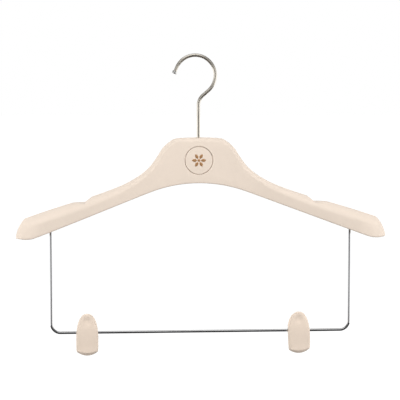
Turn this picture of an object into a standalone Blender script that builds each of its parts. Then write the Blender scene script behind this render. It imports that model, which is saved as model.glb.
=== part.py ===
"""Trouser hanger: a moulded two-shell body, a swivelling wire hook, and a wire rail with two sprung clips.

Metres, +Z up, the front faces -Y. The origin is the hook's seat, the point inside the hook that rests on a
wardrobe rod, straight above the shank.
"""

import math

import bmesh
import bpy
from mathutils import Matrix, Vector

# Gap kept between pieces that touch, and how far a cutter runs past what it cuts
CLEARANCE = 0.0003
OVERRUN = 0.004
SHARP_ANGLE = math.radians(35)

# Hook
HOOK_WIRE = 0.0042
HOOK_RADIUS = 0.0248
HOOK_OFFSET = 0.0040
HOOK_CENTRE_RISE = 0.07623
HOOK_TIP_ANGLE = math.radians(157)
HOOK_END_LENGTH = 0.0063
HOOK_LOW_ANGLE = math.radians(-49)
HOOK_NECK_RADIUS = 0.0162
HOOK_ARC_STEPS = 22
HOOK_NECK_STEPS = 6
TIP_CAP_DIAMETER = 0.0060
TIP_CAP_LENGTH = 0.0020
TIP_CAP_GRIP = 0.0014
TIP_CAP_EDGE = 0.0008
TIP_CAP_STEPS = 3

# Swivel in the neck: bush, washer and nut on the shank's end
TOP_WALL = 0.0022
BUSH_DIAMETER = 0.0080
BUSH_LENGTH = 0.0080
FLANGE_DIAMETER = 0.0108
FLANGE_THICKNESS = 0.0012
WASHER_DIAMETER = 0.0080
WASHER_THICKNESS = 0.0010
NUT_ACROSS_FLATS = 0.0070
NUT_THICKNESS = 0.0032
NUT_SIDES = 6
SHANK_END_PAST_NUT = 0.0012
SWIVEL_PLAY = 0.0006
SWIVEL_BLOCK_WIDTH = 0.0190
ROUND_STEPS = 24

# Body outline, front view: half span, neck and arms
HALF_SPAN = 0.2235
NECK_REACH = 0.0700
NECK_FALL = 0.0443
NECK_HEIGHT = 0.0570
UNDER_FALL_SHARE = 0.3575
UNDER_EASE = 0.0600
TIP_EASE = 0.0235
TIP_TOE_DROP = 0.0007
TIP_TOE_LIFT_SHARE = 0.15
TIP_EDGE_HEIGHT = 0.0233
TIP_TOP_INSET = 0.0110
TIP_BULGE = 0.0022
TIP_LENGTH = 0.0385
# Shares of the neck's reach and fall, then of what the arm's top still runs and falls to the tip
NECK_TOP_SHARES = (
    (0.0, 0.0), (0.29, 0.012), (0.42, 0.037), (0.50, 0.106), (0.571, 0.194),
    (0.643, 0.312), (0.714, 0.490), (0.786, 0.655), (0.857, 0.800), (1.0, 1.0),
)
ARM_TOP_SHARES = ((0.07, 0.126), (0.14, 0.230), (0.28, 0.385), (0.42, 0.513), (0.77, 0.796), (1.0, 1.0))
SLOPE_STEP_SHARE = 0.001

# Body section: depth front to back, and the height of its rounded top
NECK_DEPTH = 0.0180
SHOULDER_DEPTH = 0.0460
NECK_ROUNDING = 0.0055
SHOULDER_ROUNDING = 0.0122
MOST_ROUNDING_SHARE = 0.72
DEPTH_START = 0.0350
DEPTH_END = 0.1750
UNDER_FILLET = 0.0018
WALL = 0.0022

# Sweep of the arms towards the front, seen from above
BOW_START = 0.0200
BOW_EASE = 0.0700
BOW_SHARE = 0.3400

# Mesh density of the shells
NECK_COLUMNS = 16
ARM_COLUMNS = 9
TIP_COLUMNS = 7
OUTER_STEPS = 5
INNER_STEPS = 3

# Strap notch in each arm's top
NOTCH_START = 0.1318
NOTCH_RAMP = 0.0082
NOTCH_FLOOR = 0.0140
NOTCH_BOTTOM = NOTCH_START + NOTCH_RAMP
NOTCH_END = NOTCH_BOTTOM + NOTCH_FLOOR
NOTCH_DEPTH = 0.0052
NOTCH_FLOOR_RISE = 0.0008
NOTCH_ROUNDING_SHARE = 0.25
NOTCH_ROOF_MARGIN = 0.0070

# Badge disc in the front of the neck
BADGE_FALL = 0.0283
BADGE_DIAMETER = 0.0345
BADGE_THICKNESS = 0.0016
BADGE_EDGE = 0.0003
BADGE_FLOOR = 0.0016
BADGE_RIM = 0.0022
SPIGOT_DIAMETER = 0.0060
SPIGOT_LENGTH = 0.0022

# Locating pins between the shells
INNER_PIN_REACH = 0.0980
OUTER_PIN_REACH = 0.1480
PIN_REACHES = (INNER_PIN_REACH, OUTER_PIN_REACH)
PIN_DIAMETER = 0.0030
PIN_LENGTH = 0.0040
PIN_RIB_WIDTH = 0.0080
PIN_RIB_HEIGHT = 0.0120
PIN_RIB_DEPTH = 0.0100
PIN_RISE = 0.0070

# Wire frame: two legs and the trouser rail
RAIL_WIRE = 0.0032
LEG_REACH = 0.1819
RAIL_FALL = 0.2352
RAIL_CORNER = 0.0110
LEG_CORNER = 0.0040
LEG_INSERT = 0.0100
FOOT_LENGTH = 0.0130
FOOT_RIB_MARGIN = 0.0035
FOOT_RIB_DEPTH = 0.0110
FOOT_RIB_HEIGHT = 0.0160
CORNER_STEPS = 5

# Clips: places on the rail, jaws, ears, sleeve, spring and pads
LEFT_CLIP_FROM_LEG = 0.0433
RIGHT_CLIP_FROM_LEG = 0.0624
LEFT_CLIP_PLACE = LEFT_CLIP_FROM_LEG - LEG_REACH
RIGHT_CLIP_PLACE = LEG_REACH - RIGHT_CLIP_FROM_LEG
RIGHT_CLIP_TILT = math.radians(-3)
CLIPS = (("left", LEFT_CLIP_PLACE, 0.0), ("right", RIGHT_CLIP_PLACE, RIGHT_CLIP_TILT))
JAW_WIDTH = 0.0268
BACK_JAW_WIDTH = 0.0246
JAW_RISE = 0.0244
BACK_JAW_RISE = 0.0196
JAW_DROP = 0.0282
JAW_CORNER_LIFT = 0.0046
JAW_BELLY_DEPTH = 0.0100
JAW_EDGE_SET_BACK = 0.0020
JAW_LEVER_LEAN = math.radians(9)
JAW_TOE_LIP = 0.0024
JAW_KNEE_DROP = 0.0115
# Shares of the rise or drop, and of the belly's depth, down the outer face
JAW_OUTER_SHARES = (
    (-1.0, 0.50), (-0.58, 0.67), (-0.29, 0.83), (0.0, 0.98),
    (0.20, 1.05), (0.45, 1.08), (0.70, 1.13), (1.0, 1.32),
)
JAW_ACROSS_SHARES = (
    (-1.0, 1.0), (-0.87, 0.26), (-0.45, 0.06), (0.0, 0.0), (0.45, 0.06), (0.87, 0.26), (1.0, 1.0),
)
# The arch's centre lies this share of the rise below the rail, and the lowest corners are drawn in
JAW_ARCH_SINK_SHARE = 0.30
JAW_ARCH_POWER = 2.3
JAW_CORNER_SHARE = 0.06
# Thumb dish in the lever: its depth, its middle and its half height as shares of the rise
JAW_DISH_DEPTH = 0.0018
JAW_DISH_PLACE_SHARE = 0.62
JAW_DISH_REACH_SHARE = 0.30
JAW_ARCH_STEPS = 8
JAW_ARCH_ANGLE = math.radians(80)
JAW_LOWER_SHARES = (-1.0, -0.905, -0.90, -0.66, -0.42, -0.2)
EAR_THICKNESS = 0.0022
FRONT_EAR_PLACE = 0.0080
BACK_EAR_PLACE = 0.0107
EAR_FOOT = 0.0062
EAR_STEPS = 8
SLEEVE_WALL = 0.0009
SLEEVE_LENGTH = 0.0254
SLEEVE_COLLAR = 0.0009
SLEEVE_COLLAR_DIAMETER = 0.0092
SPRING_WIRE = 0.0012
SPRING_COIL_GAP = 0.0005
SPRING_TURN_GAP = 0.0006
SPRING_WHOLE_TURNS = 4
SPRING_LEG = 0.0120
SPRING_STEPS = 9
PAD_WIDTH = 0.0210
PAD_THICKNESS = 0.0016
PAD_TOP_DROP = 0.0125
PAD_BOTTOM_DROP = 0.0215
PAD_RIDGES = 4
PAD_RIDGE_DEPTH = 0.0005

# Heights and places worked out from the sizes above
HOOK_WIRE_RADIUS = HOOK_WIRE / 2
HOOK_INNER_RADIUS = HOOK_RADIUS - HOOK_WIRE_RADIUS
BODY_TOP = -HOOK_CENTRE_RISE - math.sqrt(HOOK_INNER_RADIUS**2 - HOOK_OFFSET**2)
BUSH_TOP = BODY_TOP - TOP_WALL - CLEARANCE
BUSH_BOTTOM = BUSH_TOP - BUSH_LENGTH
WASHER_TOP = BUSH_BOTTOM - CLEARANCE
NUT_TOP = WASHER_TOP - WASHER_THICKNESS - CLEARANCE
SHANK_END = NUT_TOP - NUT_THICKNESS - SHANK_END_PAST_NUT
BADGE_CENTRE = BODY_TOP - BADGE_FALL
BADGE_FLOOR_FRONT = NECK_DEPTH / 2 - BADGE_THICKNESS - CLEARANCE
RAIL_RADIUS = RAIL_WIRE / 2
RAIL_HEIGHT = BODY_TOP - RAIL_FALL
LARGEST_CLIP_TILT = max(abs(tilt) for _, _, tilt in CLIPS)
SLEEVE_BORE = RAIL_RADIUS + CLEARANCE + SLEEVE_LENGTH / 2 * math.sin(LARGEST_CLIP_TILT)
SLEEVE_RADIUS = SLEEVE_BORE + SLEEVE_WALL
SPRING_RADIUS = SLEEVE_RADIUS + SPRING_COIL_GAP + SPRING_WIRE / 2
LEVER_INNER = (SPRING_RADIUS + SPRING_WIRE / 2 + CLEARANCE) / math.cos(JAW_LEVER_LEAN)
EAR_RADIUS = LEVER_INNER - 2 * CLEARANCE
EAR_BORE = SLEEVE_RADIUS + CLEARANCE
PAD_FACE = CLEARANCE / 2
PAD_SEAT = PAD_FACE + PAD_THICKNESS + CLEARANCE
FRONT = -1
BACK = 1


def clear_scene():
    for thing in list(bpy.data.objects):
        bpy.data.objects.remove(thing, do_unlink=True)


def material(name, colour, roughness, metallic=0.0):
    """A Principled material with one colour, made once."""
    made = bpy.data.materials.get(name) or bpy.data.materials.new(name)
    made.use_nodes = True
    shader = made.node_tree.nodes["Principled BSDF"]
    shader.inputs["Base Color"].default_value = (*colour, 1.0)
    shader.inputs["Roughness"].default_value = roughness
    shader.inputs["Metallic"].default_value = metallic
    made.diffuse_color = (*colour, 1.0)
    return made


def shell_plastic():
    return material("shell_plastic", (0.807, 0.703, 0.604), 0.48)


def clip_plastic():
    return material("clip_plastic", (0.745, 0.631, 0.521), 0.50)


def hook_metal():
    return material("hook_metal", (0.46, 0.42, 0.36), 0.32, 1.0)


def polished_metal():
    return material("polished_metal", (0.72, 0.70, 0.66), 0.14, 1.0)


def rail_chrome():
    return material("rail_chrome", (0.62, 0.62, 0.63), 0.12, 1.0)


def spring_steel():
    return material("spring_steel", (0.55, 0.55, 0.56), 0.30, 1.0)


def bush_brass():
    return material("bush_brass", (0.70, 0.56, 0.30), 0.35, 1.0)


def pad_rubber():
    return material("pad_rubber", (0.62, 0.53, 0.44), 0.80)


def sleeve_plastic():
    return material("sleeve_plastic", (0.70, 0.62, 0.53), 0.55)


def add_object(name, data, finish, parent=None):
    """Links new geometry to the scene under its node's name."""
    made = bpy.data.objects.new(name, data)
    bpy.context.scene.collection.objects.link(made)
    data.materials.clear()
    data.materials.append(finish)
    made.parent = parent
    return made


def shade(mesh):
    """Shades round parts smooth and keeps real edges sharp."""
    mesh.shade_smooth()
    mesh.set_sharp_from_angle(angle=SHARP_ANGLE)
    return mesh


def close_slivers(mesh):
    """Fills the hair-thin gaps that a Boolean can leave where two edges almost meet."""
    bm = bmesh.new()
    bm.from_mesh(mesh)
    slivers = [edge for edge in bm.edges if edge.is_boundary]
    if slivers:
        bmesh.ops.holes_fill(bm, edges=slivers)
        bmesh.ops.recalc_face_normals(bm, faces=bm.faces[:])
    bm.to_mesh(mesh)
    bm.free()
    return mesh


def mesh_from(bm, name):
    """Turns a bmesh into a mesh whose faces point out."""
    bmesh.ops.remove_doubles(bm, verts=bm.verts[:], dist=CLEARANCE / 100)
    bmesh.ops.recalc_face_normals(bm, faces=bm.faces[:])
    mesh = bpy.data.meshes.new(name)
    bm.to_mesh(mesh)
    bm.free()
    return shade(mesh)


def combine(target, tool_mesh, operation):
    """Joins a mesh to the target object or cuts it out of it, and keeps the result as the target's mesh."""
    tool = bpy.data.objects.new("tool", tool_mesh)
    bpy.context.scene.collection.objects.link(tool)
    tool.parent = target
    step = target.modifiers.new("combine", "BOOLEAN")
    step.operation = operation
    step.object = tool
    graph = bpy.context.evaluated_depsgraph_get()
    result = bpy.data.meshes.new_from_object(target.evaluated_get(graph))
    target.modifiers.remove(step)
    target.data = shade(close_slivers(result))
    bpy.data.objects.remove(tool, do_unlink=True)


def join(target, tool_mesh):
    combine(target, tool_mesh, "UNION")


def cut(target, tool_mesh):
    combine(target, tool_mesh, "DIFFERENCE")


def prism(outline, low, high, axis="Y"):
    """A closed solid from a flat outline: (x, z) points extruded along Y, or (y, z) points along X."""
    bm = bmesh.new()
    place = {"Y": lambda a, b, c: (a, c, b), "X": lambda a, b, c: (c, a, b)}[axis]
    rings = [[bm.verts.new(place(a, b, c)) for a, b in outline] for c in (low, high)]
    for i in range(len(outline)):
        k = (i + 1) % len(outline)
        bm.faces.new((rings[0][i], rings[0][k], rings[1][k], rings[1][i]))
    bm.faces.new(rings[0])
    bm.faces.new(rings[1])
    return bm


def turned(profile, steps=ROUND_STEPS, axis="Z"):
    """A solid of revolution from (radius, height) points, about Z, or about X or Y with height along it.

    A profile whose first and last points have a radius is closed into a ring with a hole.
    """
    turn = {"Z": Matrix.Identity(3), "X": Matrix(((0, 0, 1), (0, 1, 0), (-1, 0, 0))),
            "Y": Matrix(((1, 0, 0), (0, 0, 1), (0, -1, 0)))}[axis]
    bm = bmesh.new()
    rings = []
    for i in range(steps):
        angle = 2 * math.pi * (i + 1 / 2) / steps
        across, deep = math.cos(angle), math.sin(angle)
        rings.append([bm.verts.new(turn @ Vector((r * across, r * deep, h))) for r, h in profile])
    hollow = profile[0][0] > 0
    count = len(profile) if hollow else len(profile) - 1
    for i in range(steps):
        here, there = rings[i], rings[(i + 1) % steps]
        for k in range(count):
            n = (k + 1) % len(profile)
            bm.faces.new((here[k], there[k], there[n], here[n]))
    return bm


def lofted(rings, name):
    """A closed solid through rings of points that follow each other, with its two ends filled."""
    bm = bmesh.new()
    rings = [[bm.verts.new(point) for point in ring] for ring in rings]
    for here, there in zip(rings, rings[1:]):
        for i in range(len(here)):
            k = (i + 1) % len(here)
            bm.faces.new((here[i], here[k], there[k], there[i]))
    bm.faces.new(rings[0])
    bm.faces.new(rings[-1])
    return mesh_from(bm, name)


def moved(bm, place):
    """Shifts a bmesh to a place."""
    bmesh.ops.translate(bm, verts=bm.verts[:], vec=Vector(place))
    return bm


def wire(name, points, diameter, sides=3):
    """A round wire along points, with closed ends."""
    curve = bpy.data.curves.new(name, "CURVE")
    curve.dimensions = "3D"
    curve.bevel_depth = diameter / 2
    curve.bevel_resolution = sides
    curve.use_fill_caps = True
    spline = curve.splines.new("POLY")
    spline.points.add(len(points) - 1)
    for point, place in zip(spline.points, points):
        point.co = (*place, 1.0)
    return curve


def wire_mesh(points, diameter, sides=3):
    """The same wire as a mesh, used as a cutter."""
    curve = wire("wire_tool", points, diameter, sides)
    holder = bpy.data.objects.new("wire_tool", curve)
    bpy.context.scene.collection.objects.link(holder)
    graph = bpy.context.evaluated_depsgraph_get()
    mesh = bpy.data.meshes.new_from_object(holder.evaluated_get(graph))
    bpy.data.objects.remove(holder, do_unlink=True)
    return mesh


def rounded_route(corners, radii, steps=CORNER_STEPS):
    """Points along straight runs whose inner corners are turned into arcs of the given radii."""
    corners = [Vector(c) for c in corners]
    points = [corners[0]]
    for before, here, after, radius in zip(corners, corners[1:], corners[2:], radii):
        back = (before - here).normalized()
        ahead = (after - here).normalized()
        half = back.angle(ahead) / 2
        centre = here + (back + ahead).normalized() * radius / math.sin(half)
        start = (here + back * radius / math.tan(half) - centre).normalized()
        end = (here + ahead * radius / math.tan(half) - centre).normalized()
        points += [centre + radius * start.slerp(end, i / steps) for i in range(steps + 1)]
    return points + [corners[-1]]


def smooth_line(points, at):
    """A smooth curve through (place, value) points, read at a place."""
    at = min(max(at, points[0][0]), points[-1][0])
    slopes = [(b[1] - a[1]) / (b[0] - a[0]) for a, b in zip(points, points[1:])]
    tangents = [slopes[0]] + [2 * a * b / (a + b) if a * b > 0 else 0.0 for a, b in zip(slopes, slopes[1:])]
    tangents.append(slopes[-1])
    i = max(k for k in range(len(points) - 1) if points[k][0] <= at)
    run = points[i + 1][0] - points[i][0]
    t = (at - points[i][0]) / run
    low, high = points[i][1], points[i + 1][1]
    return (
        low * (1 + 2 * t) * (1 - t) ** 2 + high * t * t * (3 - 2 * t)
        + run * (tangents[i] * t * (1 - t) ** 2 - tangents[i + 1] * t * t * (1 - t))
    )


def eased_ramp(run, slope, ease):
    """Zero up to the start, then a parabola over the ease, then a straight ramp."""
    if run <= 0:
        return 0.0
    if run < ease:
        return slope * run * run / (2 * ease)
    return slope * (run - ease / 2)


def ease_between(at, start, end):
    share = min(max((at - start) / (end - start), 0.0), 1.0)
    return share * share * (3 - 2 * share)


def bow(x):
    """How far the middle of the body lies in front of the shank at this distance from it."""
    return eased_ramp(abs(x) - BOW_START, BOW_SHARE, BOW_EASE)


def under_fall(reach):
    """Depth of the underside below the body's top."""
    level_start = HALF_SPAN - TIP_EASE
    fall = NECK_HEIGHT + eased_ramp(min(reach, level_start), UNDER_FALL_SHARE, UNDER_EASE)
    t = max(0.0, (reach - level_start) / TIP_EASE)
    rise = TIP_EASE * (UNDER_FALL_SHARE * t * (1 - t) ** 2 + TIP_TOE_LIFT_SHARE * t * t * (1 - t))
    return fall + TIP_TOE_DROP * t * t * (3 - 2 * t) + rise


def top_points():
    """The top outline from the neck to the tip, as (reach, fall) points."""
    tip_top = under_fall(HALF_SPAN) - TIP_EDGE_HEIGHT
    run = HALF_SPAN - TIP_TOP_INSET - NECK_REACH
    neck = [(a * NECK_REACH, b * NECK_FALL) for a, b in NECK_TOP_SHARES]
    arm = [(NECK_REACH + a * run, NECK_FALL + b * (tip_top - NECK_FALL)) for a, b in ARM_TOP_SHARES]
    return neck + arm


TOP_OUTLINE = top_points()


def top_fall(reach):
    return smooth_line(TOP_OUTLINE, reach)


def top_stretch(reach):
    """How much longer a depth gets when it is taken straight down from the sloping top."""
    step = HALF_SPAN * SLOPE_STEP_SHARE
    slope = (top_fall(reach + step) - top_fall(reach - step)) / (2 * step)
    return math.hypot(1.0, slope)


def half_depth(reach):
    return (NECK_DEPTH + (SHOULDER_DEPTH - NECK_DEPTH) * ease_between(reach, DEPTH_START, DEPTH_END)) / 2


def rounding(reach):
    """Height of the rounded top, measured straight down."""
    growth = ease_between(reach, DEPTH_START, DEPTH_END)
    level = NECK_ROUNDING + (SHOULDER_ROUNDING - NECK_ROUNDING) * growth
    return min(level * top_stretch(reach), MOST_ROUNDING_SHARE * (under_fall(reach) - top_fall(reach)))


def notch_roof(reach):
    """How much lower the cavity's roof runs, so that the notch keeps a floor."""
    start = ease_between(reach, NOTCH_START - NOTCH_ROOF_MARGIN, NOTCH_START)
    end = ease_between(reach, NOTCH_END, NOTCH_END + NOTCH_ROOF_MARGIN)
    return (NOTCH_DEPTH + WALL / 2) * start * (1 - end)


def section(place, inset):
    """One rib of the body: its top and bottom points, half depth, rounding and bulge.

    Up to 1, place runs along the arm to the tip. From 1 to 2 it turns round the tip.
    The inset shrinks the rib.
    """
    tip_start = HALF_SPAN - TIP_LENGTH
    if place <= 1:
        reach = place * tip_start
        top_reach, closing, turn = reach, 1.0, 0.0
    else:
        angle = math.radians(90) * (place - 1)
        turn, closing = math.sin(angle), math.cos(angle)
        reach = tip_start + (TIP_LENGTH - 2 * inset) * turn
        top_reach = tip_start + (TIP_LENGTH - TIP_TOP_INSET - 2 * inset) * turn
    top = top_fall(top_reach)
    under = under_fall(reach)
    lowered = inset * top_stretch(top_reach) + (notch_roof(reach) if inset else 0.0)
    deep = (half_depth(reach) - inset) * closing
    share = rounding(top_reach) / (under - top)
    start = Vector((top_reach, 0, BODY_TOP - top - lowered))
    end = Vector((reach, 0, BODY_TOP - under + inset))
    return start, end, deep, share, TIP_BULGE * turn * turn


def rib_points(place, side, mirror, inset, steps):
    """The points of one rib on one side of the parting surface, from the top rim to the bottom rim."""
    start, end, deep, share, bulge = section(place, inset)
    drop = end - start
    length = drop.length
    out = Vector((-drop.z, 0, drop.x)).normalized()
    fillet = min(UNDER_FILLET, deep / 2) if not inset else 0.0
    levels = [(share * (1 - math.cos(a)), deep * math.sin(a)) for a in
              [math.radians(90) * i / steps for i in range(steps + 1)]]
    if fillet:
        foot = fillet / length
        for i in range(3):
            angle = math.radians(90) * i / 2
            levels.append((1 - foot + foot * math.sin(angle), deep - fillet * (1 - math.cos(angle))))
    else:
        levels.append((1.0, deep))
    levels.append((1.0, 0.0))
    parting = CLEARANCE / 2
    points = []
    for level, depth in levels:
        place_now = start + drop * level + out * (4 * bulge * level * (1 - level))
        scaled = parting + depth * (1 - parting / half_depth(0))
        points.append(Vector((mirror * place_now.x, side * scaled - bow(place_now.x), place_now.z)))
    return points


def places_along():
    """Places of the ribs from the middle to the tip."""
    tip_start = HALF_SPAN - TIP_LENGTH
    neck_end = NECK_REACH / tip_start
    neck = [neck_end * i / NECK_COLUMNS for i in range(NECK_COLUMNS)]
    arm = [neck_end + (1 - neck_end) * i / ARM_COLUMNS for i in range(ARM_COLUMNS)]
    return neck + arm + [1 + i / TIP_COLUMNS for i in range(TIP_COLUMNS + 1)]


def shell_mesh(side):
    """One half of the hollow body, from tip to tip, open at the parting surface."""
    places = places_along()
    columns = [(p, -1) for p in reversed(places[1:])] + [(p, 1) for p in places]
    bm = bmesh.new()
    outer = [[bm.verts.new(v) for v in rib_points(p, side, m, 0.0, OUTER_STEPS)] for p, m in columns]
    inner = [[bm.verts.new(v) for v in rib_points(p, side, m, WALL, INNER_STEPS)] for p, m in columns]
    for skin in (outer, inner):
        for here, there in zip(skin, skin[1:]):
            for k in range(len(here) - 1):
                bm.faces.new((here[k], there[k], there[k + 1], here[k + 1]))
    for end in (0, -1):
        for i in range(len(columns) - 1):
            bm.faces.new((outer[i][end], outer[i + 1][end], inner[i + 1][end], inner[i][end]))
        bm.faces.new(outer[end] + list(reversed(inner[end])))
    bmesh.ops.remove_doubles(bm, verts=bm.verts[:], dist=CLEARANCE / 100)
    bmesh.ops.triangulate(bm, faces=bm.faces[:])
    return mesh_from(bm, "shell")


def rib_block(low, high, height, depth, side):
    """A rib that stands on the underside's wall and ends just short of the parting surface."""
    bm = bmesh.new()
    corners = []
    for x in (low, high):
        foot = BODY_TOP - under_fall(abs(x)) + WALL / 2
        for z in (foot, foot + height - WALL / 2):
            for reach in (CLEARANCE, depth):
                corners.append(bm.verts.new((x, side * reach - bow(x), z)))
    for face in ((0, 1, 3, 2), (4, 5, 7, 6), (0, 1, 5, 4), (2, 3, 7, 6), (0, 2, 6, 4), (1, 3, 7, 5)):
        bm.faces.new([corners[i] for i in face])
    return mesh_from(bm, "rib")


def notch_mesh(mirror):
    """The wedge that cuts a strap notch across one arm."""
    floor = BODY_TOP - top_fall(NOTCH_BOTTOM) - NOTCH_DEPTH
    lip = BODY_TOP - top_fall(NOTCH_START)
    slope = (lip - floor) / NOTCH_RAMP
    ease = NOTCH_RAMP * NOTCH_ROUNDING_SHARE
    outline = [
        (NOTCH_START - OVERRUN / 2, lip + slope * OVERRUN / 2 + OVERRUN),
        (NOTCH_START - OVERRUN / 2, lip + slope * OVERRUN / 2),
        (NOTCH_START, lip),
        (NOTCH_BOTTOM - ease, floor + slope * ease),
        (NOTCH_BOTTOM - ease / 4, floor + slope * ease / 3),
        (NOTCH_BOTTOM + ease, floor),
        (NOTCH_END, floor + NOTCH_FLOOR_RISE),
        (NOTCH_END + OVERRUN, floor + 2 * NOTCH_FLOOR_RISE),
        (NOTCH_END + OVERRUN, lip + slope * OVERRUN / 2 + OVERRUN),
    ]
    outline = [(mirror * x, z) for x, z in outline]
    deepest = bow(NOTCH_END) + half_depth(NOTCH_END) + OVERRUN
    return mesh_from(prism(outline, -deepest, half_depth(NOTCH_END)), "notch")


def block_mesh(low, high):
    bm = bmesh.new()
    bmesh.ops.create_cube(bm, size=1)
    size = [b - a for a, b in zip(low, high)]
    bmesh.ops.scale(bm, vec=size, verts=bm.verts[:])
    return mesh_from(moved(bm, [(a + b) / 2 for a, b in zip(low, high)]), "block")


def swivel_pocket():
    """The space that the shank, bush, washer and nut take in the neck."""
    shank = HOOK_WIRE_RADIUS + SWIVEL_PLAY
    bush = BUSH_DIAMETER / 2 + CLEARANCE
    flange = FLANGE_DIAMETER / 2 + CLEARANCE
    nut = NUT_ACROSS_FLATS / 2 / math.cos(math.pi / NUT_SIDES) + SWIVEL_PLAY
    seat = BUSH_BOTTOM + FLANGE_THICKNESS + CLEARANCE
    low = WASHER_TOP
    end = SHANK_END - SWIVEL_PLAY
    return [(0, BODY_TOP + OVERRUN), (shank, BODY_TOP + OVERRUN), (shank, BUSH_TOP + CLEARANCE),
            (bush, BUSH_TOP + CLEARANCE), (bush, seat), (flange, seat), (flange, low),
            (nut, low), (nut, end), (0, end)]


def disc(radius, low, high, centre_height, side=FRONT):
    """A round solid along Y between two depths, on one side of the neck."""
    outline = [(0, side * low), (radius, side * low), (radius, side * high), (0, side * high)]
    return mesh_from(moved(turned(outline, 2 * ROUND_STEPS, "Y"), (0, 0, centre_height)), "disc")


def foot_route(mirror):
    """Corners of one leg's bent end, from the foot inside the arm down to the leg."""
    knee_height = BODY_TOP - under_fall(LEG_REACH) + LEG_INSERT
    inward = Vector((-1.0, BOW_SHARE, UNDER_FALL_SHARE)).normalized() * FOOT_LENGTH
    knee = Vector((LEG_REACH, -bow(LEG_REACH), knee_height))
    foot = knee + inward
    return [Vector((mirror * p.x, p.y, p.z)) for p in (foot, knee)]


def rail_corners():
    left = foot_route(-1)
    right = foot_route(1)
    depth = -bow(LEG_REACH)
    low = [Vector((-LEG_REACH, depth, RAIL_HEIGHT)), Vector((LEG_REACH, depth, RAIL_HEIGHT))]
    return left + low + list(reversed(right))


def rail_points():
    return rounded_route(rail_corners(), [LEG_CORNER, RAIL_CORNER, RAIL_CORNER, LEG_CORNER])


def make_shell(side, name):
    """One moulded half: skin, swivel block, foot ribs and pin ribs, then every hole and notch."""
    shell = add_object(name, shell_mesh(side), shell_plastic())
    add_swivel_block(shell, side)
    if side == FRONT:
        recess = BADGE_DIAMETER / 2 + CLEARANCE
        behind = BADGE_FLOOR_FRONT - BADGE_FLOOR
        join(shell, disc(recess + BADGE_RIM, behind, NECK_DEPTH / 2 - WALL / 2, BADGE_CENTRE))
    foot_low = LEG_REACH - FOOT_LENGTH - FOOT_RIB_MARGIN
    foot_high = LEG_REACH + FOOT_RIB_MARGIN
    for mirror in (-1, 1):
        ends = sorted((mirror * foot_low, mirror * foot_high))
        join(shell, rib_block(*ends, FOOT_RIB_HEIGHT, FOOT_RIB_DEPTH, side))
        for reach in PIN_REACHES:
            ends = (mirror * reach - PIN_RIB_WIDTH / 2, mirror * reach + PIN_RIB_WIDTH / 2)
            join(shell, rib_block(*ends, PIN_RIB_HEIGHT, PIN_RIB_DEPTH, side))
    for mirror in (-1, 1):
        for reach in PIN_REACHES:
            add_pin(shell, side, mirror * reach)
        cut(shell, notch_mesh(mirror))
    cut(shell, mesh_from(turned(swivel_pocket()), "pocket"))
    cut(shell, wire_mesh(rail_points(), RAIL_WIRE + 2 * CLEARANCE))
    if side == FRONT:
        cut(shell, disc(recess, BADGE_FLOOR_FRONT, NECK_DEPTH / 2 + OVERRUN, BADGE_CENTRE))
        spigot = SPIGOT_DIAMETER / 2 + CLEARANCE
        cut(shell, disc(spigot, behind - OVERRUN / 4, NECK_DEPTH / 2, BADGE_CENTRE))
    return shell


def add_swivel_block(shell, side):
    """The solid middle of the neck that the swivel sits in: wide below, narrow under the rounded top."""
    low = SHANK_END - SWIVEL_PLAY - WALL
    narrow = BUSH_DIAMETER / 2 + CLEARANCE + WALL / 2
    wide_block = (SWIVEL_BLOCK_WIDTH / 2, NECK_DEPTH / 2 - WALL / 2, BODY_TOP - NECK_ROUNDING)
    narrow_block = (narrow, narrow, BODY_TOP - TOP_WALL + CLEARANCE)
    for half, deep, top in (wide_block, narrow_block):
        faces = sorted((side * CLEARANCE, side * deep))
        join(shell, block_mesh((-half, faces[0], low), (half, faces[1], top)))


def add_pin(shell, side, x):
    """A locating pin on the front half, or its hole in the back half."""
    height = BODY_TOP - under_fall(abs(x)) + PIN_RISE
    middle = -bow(x)
    if side == FRONT:
        profile = [(0, middle - WALL), (PIN_DIAMETER / 2, middle - WALL),
                   (PIN_DIAMETER / 2, middle + PIN_LENGTH), (0, middle + PIN_LENGTH)]
    else:
        hole = PIN_DIAMETER / 2 + CLEARANCE
        profile = [(0, middle - OVERRUN), (hole, middle - OVERRUN),
                   (hole, middle + PIN_LENGTH + 2 * CLEARANCE), (0, middle + PIN_LENGTH + 2 * CLEARANCE)]
    pin = mesh_from(moved(turned(profile, ROUND_STEPS // 2, "Y"), (x, 0, height)), "pin")
    if side == FRONT:
        join(shell, pin)
    else:
        cut(shell, pin)


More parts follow.
